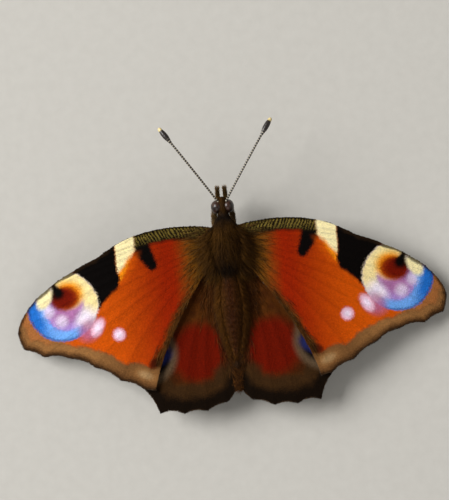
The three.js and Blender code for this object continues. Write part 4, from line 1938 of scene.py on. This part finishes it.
@dataclass(frozen=True)
class Studio:
    """A pale ground, soft lights and the camera, which looks almost straight down."""

    image: tuple[int, int] = (449, 500)
    pixel: float = 0.14  # millimetres at the wings
    target: tuple[float, float, float] = (0.27, 0.68, 5.0)
    distance: float = 280
    tilt: float = 5  # degrees from straight above, towards the tail
    lean: float = 5.3  # degrees that the head leans to the image's left
    sensor: float = 24
    near: float = 5  # the camera sees nothing nearer than this
    paper: float = 600  # half the ground's side
    sky: tuple[float, float, float, float] = (1.0, 0.98, 0.95, 1)
    sky_strength: float = 0.22
    lamps: tuple[Lamp, ...] = (
        Lamp("key", (670, -264, 605), 570, 12.1),
        Lamp("fill", (-700, 90, 530), 700, 0.62),
        Lamp("rear", (130, 730, 490), 660, 1.45),
    )

    def ground(self, shop: Workshop) -> None:
        """Lay the ground under the feet.

        Args:
            shop: Gives the frame's metres.
        """
        corners = [(x * self.paper, y * self.paper, 0) for x, y in ((-1, -1), (1, -1), (1, 1), (-1, 1))]
        mesh = bpy.data.meshes.new("ground")
        mesh.from_pydata([tuple(p) for p in shop.metres(corners)], [], [(0, 1, 2, 3)])
        mesh.materials.append(PaperFinish().material("Drawing paper"))
        ground = placed("ground", mesh)

    def camera(self, shop: Workshop) -> None:
        """Place the camera above the butterfly, framed as the photograph is.

        Args:
            shop: Gives the frame's metres.
        """
        tilt, lean = math.radians(self.tilt), math.radians(self.lean)
        towards = Vector((0, math.sin(tilt), math.cos(tilt)))
        ahead = Vector((0, -math.cos(tilt), math.sin(tilt)))
        right = Vector((-1, 0, 0))
        up = ahead * math.cos(lean) + right * math.sin(lean)
        across = right * math.cos(lean) - ahead * math.sin(lean)
        spot = Vector(shop.metres([self.target])[0]) + towards * self.distance * MM
        data = bpy.data.cameras.new("camera")
        data.sensor_fit = "VERTICAL"
        data.sensor_height = self.sensor
        data.lens = self.sensor * self.distance / (self.image[1] * self.pixel)
        data.clip_start = self.near * MM
        camera = placed("camera", data)
        camera.matrix_world = Matrix.Translation(spot) @ Matrix((across, up, towards)).transposed().to_4x4()
        bpy.context.scene.camera = camera

    def hang(self, shop: Workshop, lamp: Lamp) -> None:
        """Hang a light that faces the butterfly.

        Args:
            shop: Gives the frame's metres.
            lamp: The light.
        """
        data = bpy.data.lights.new(lamp.name, "AREA")
        data.size = lamp.size * MM
        data.energy = lamp.power
        light = placed(lamp.name, data)
        light.location = shop.metres([lamp.place])[0]
        aim = Vector(shop.metres([self.target])[0]) - light.location
        light.rotation_euler = aim.to_track_quat("-Z", "Y").to_euler()

    def build(self, shop: Workshop) -> None:
        """Set up the ground, the lights, the sky and the camera.

        Args:
            shop: Gives the frame's metres.
        """
        self.ground(shop)
        self.camera(shop)
        for lamp in self.lamps:
            self.hang(shop, lamp)
        world = bpy.data.worlds.new("studio")
        world.use_nodes = True
        sky = world.node_tree.nodes["Background"]
        sky.inputs["Color"].default_value = self.sky
        sky.inputs["Strength"].default_value = self.sky_strength
        bpy.context.scene.world = world
        bpy.context.scene.view_settings.view_transform = "Standard"


def main() -> None:
    """Load the frame and build the butterfly's parts in order."""
    logging.basicConfig(level=logging.INFO, format="%(message)s")
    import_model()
    shop = Workshop.from_frame()
    finishes = Finishes.make()
    Studio().build(shop)
    Body().build(shop, finishes)
    Head().build(shop, finishes)
    forewing = Wing("forewing", FOREWING, ForewingMarks())
    hindwing = Wing(
        "hindwing",
        HINDWING,
        HindwingMarks(),
        scale_pitch=0.16,
        base_hairs=4200,
        hair_reach=4.5,
        inner_hairs=3600,
        hair_gold="#6C4014",
    )
    for side in Side:
        for leg in LEGS:
            leg.build(shop, finishes, side)
        forewing.build(shop, finishes.forewing, finishes.hair, side)
        hindwing.build(shop, finishes.hindwing, finishes.hair, side)


if __name__ == "__main__":
    main()
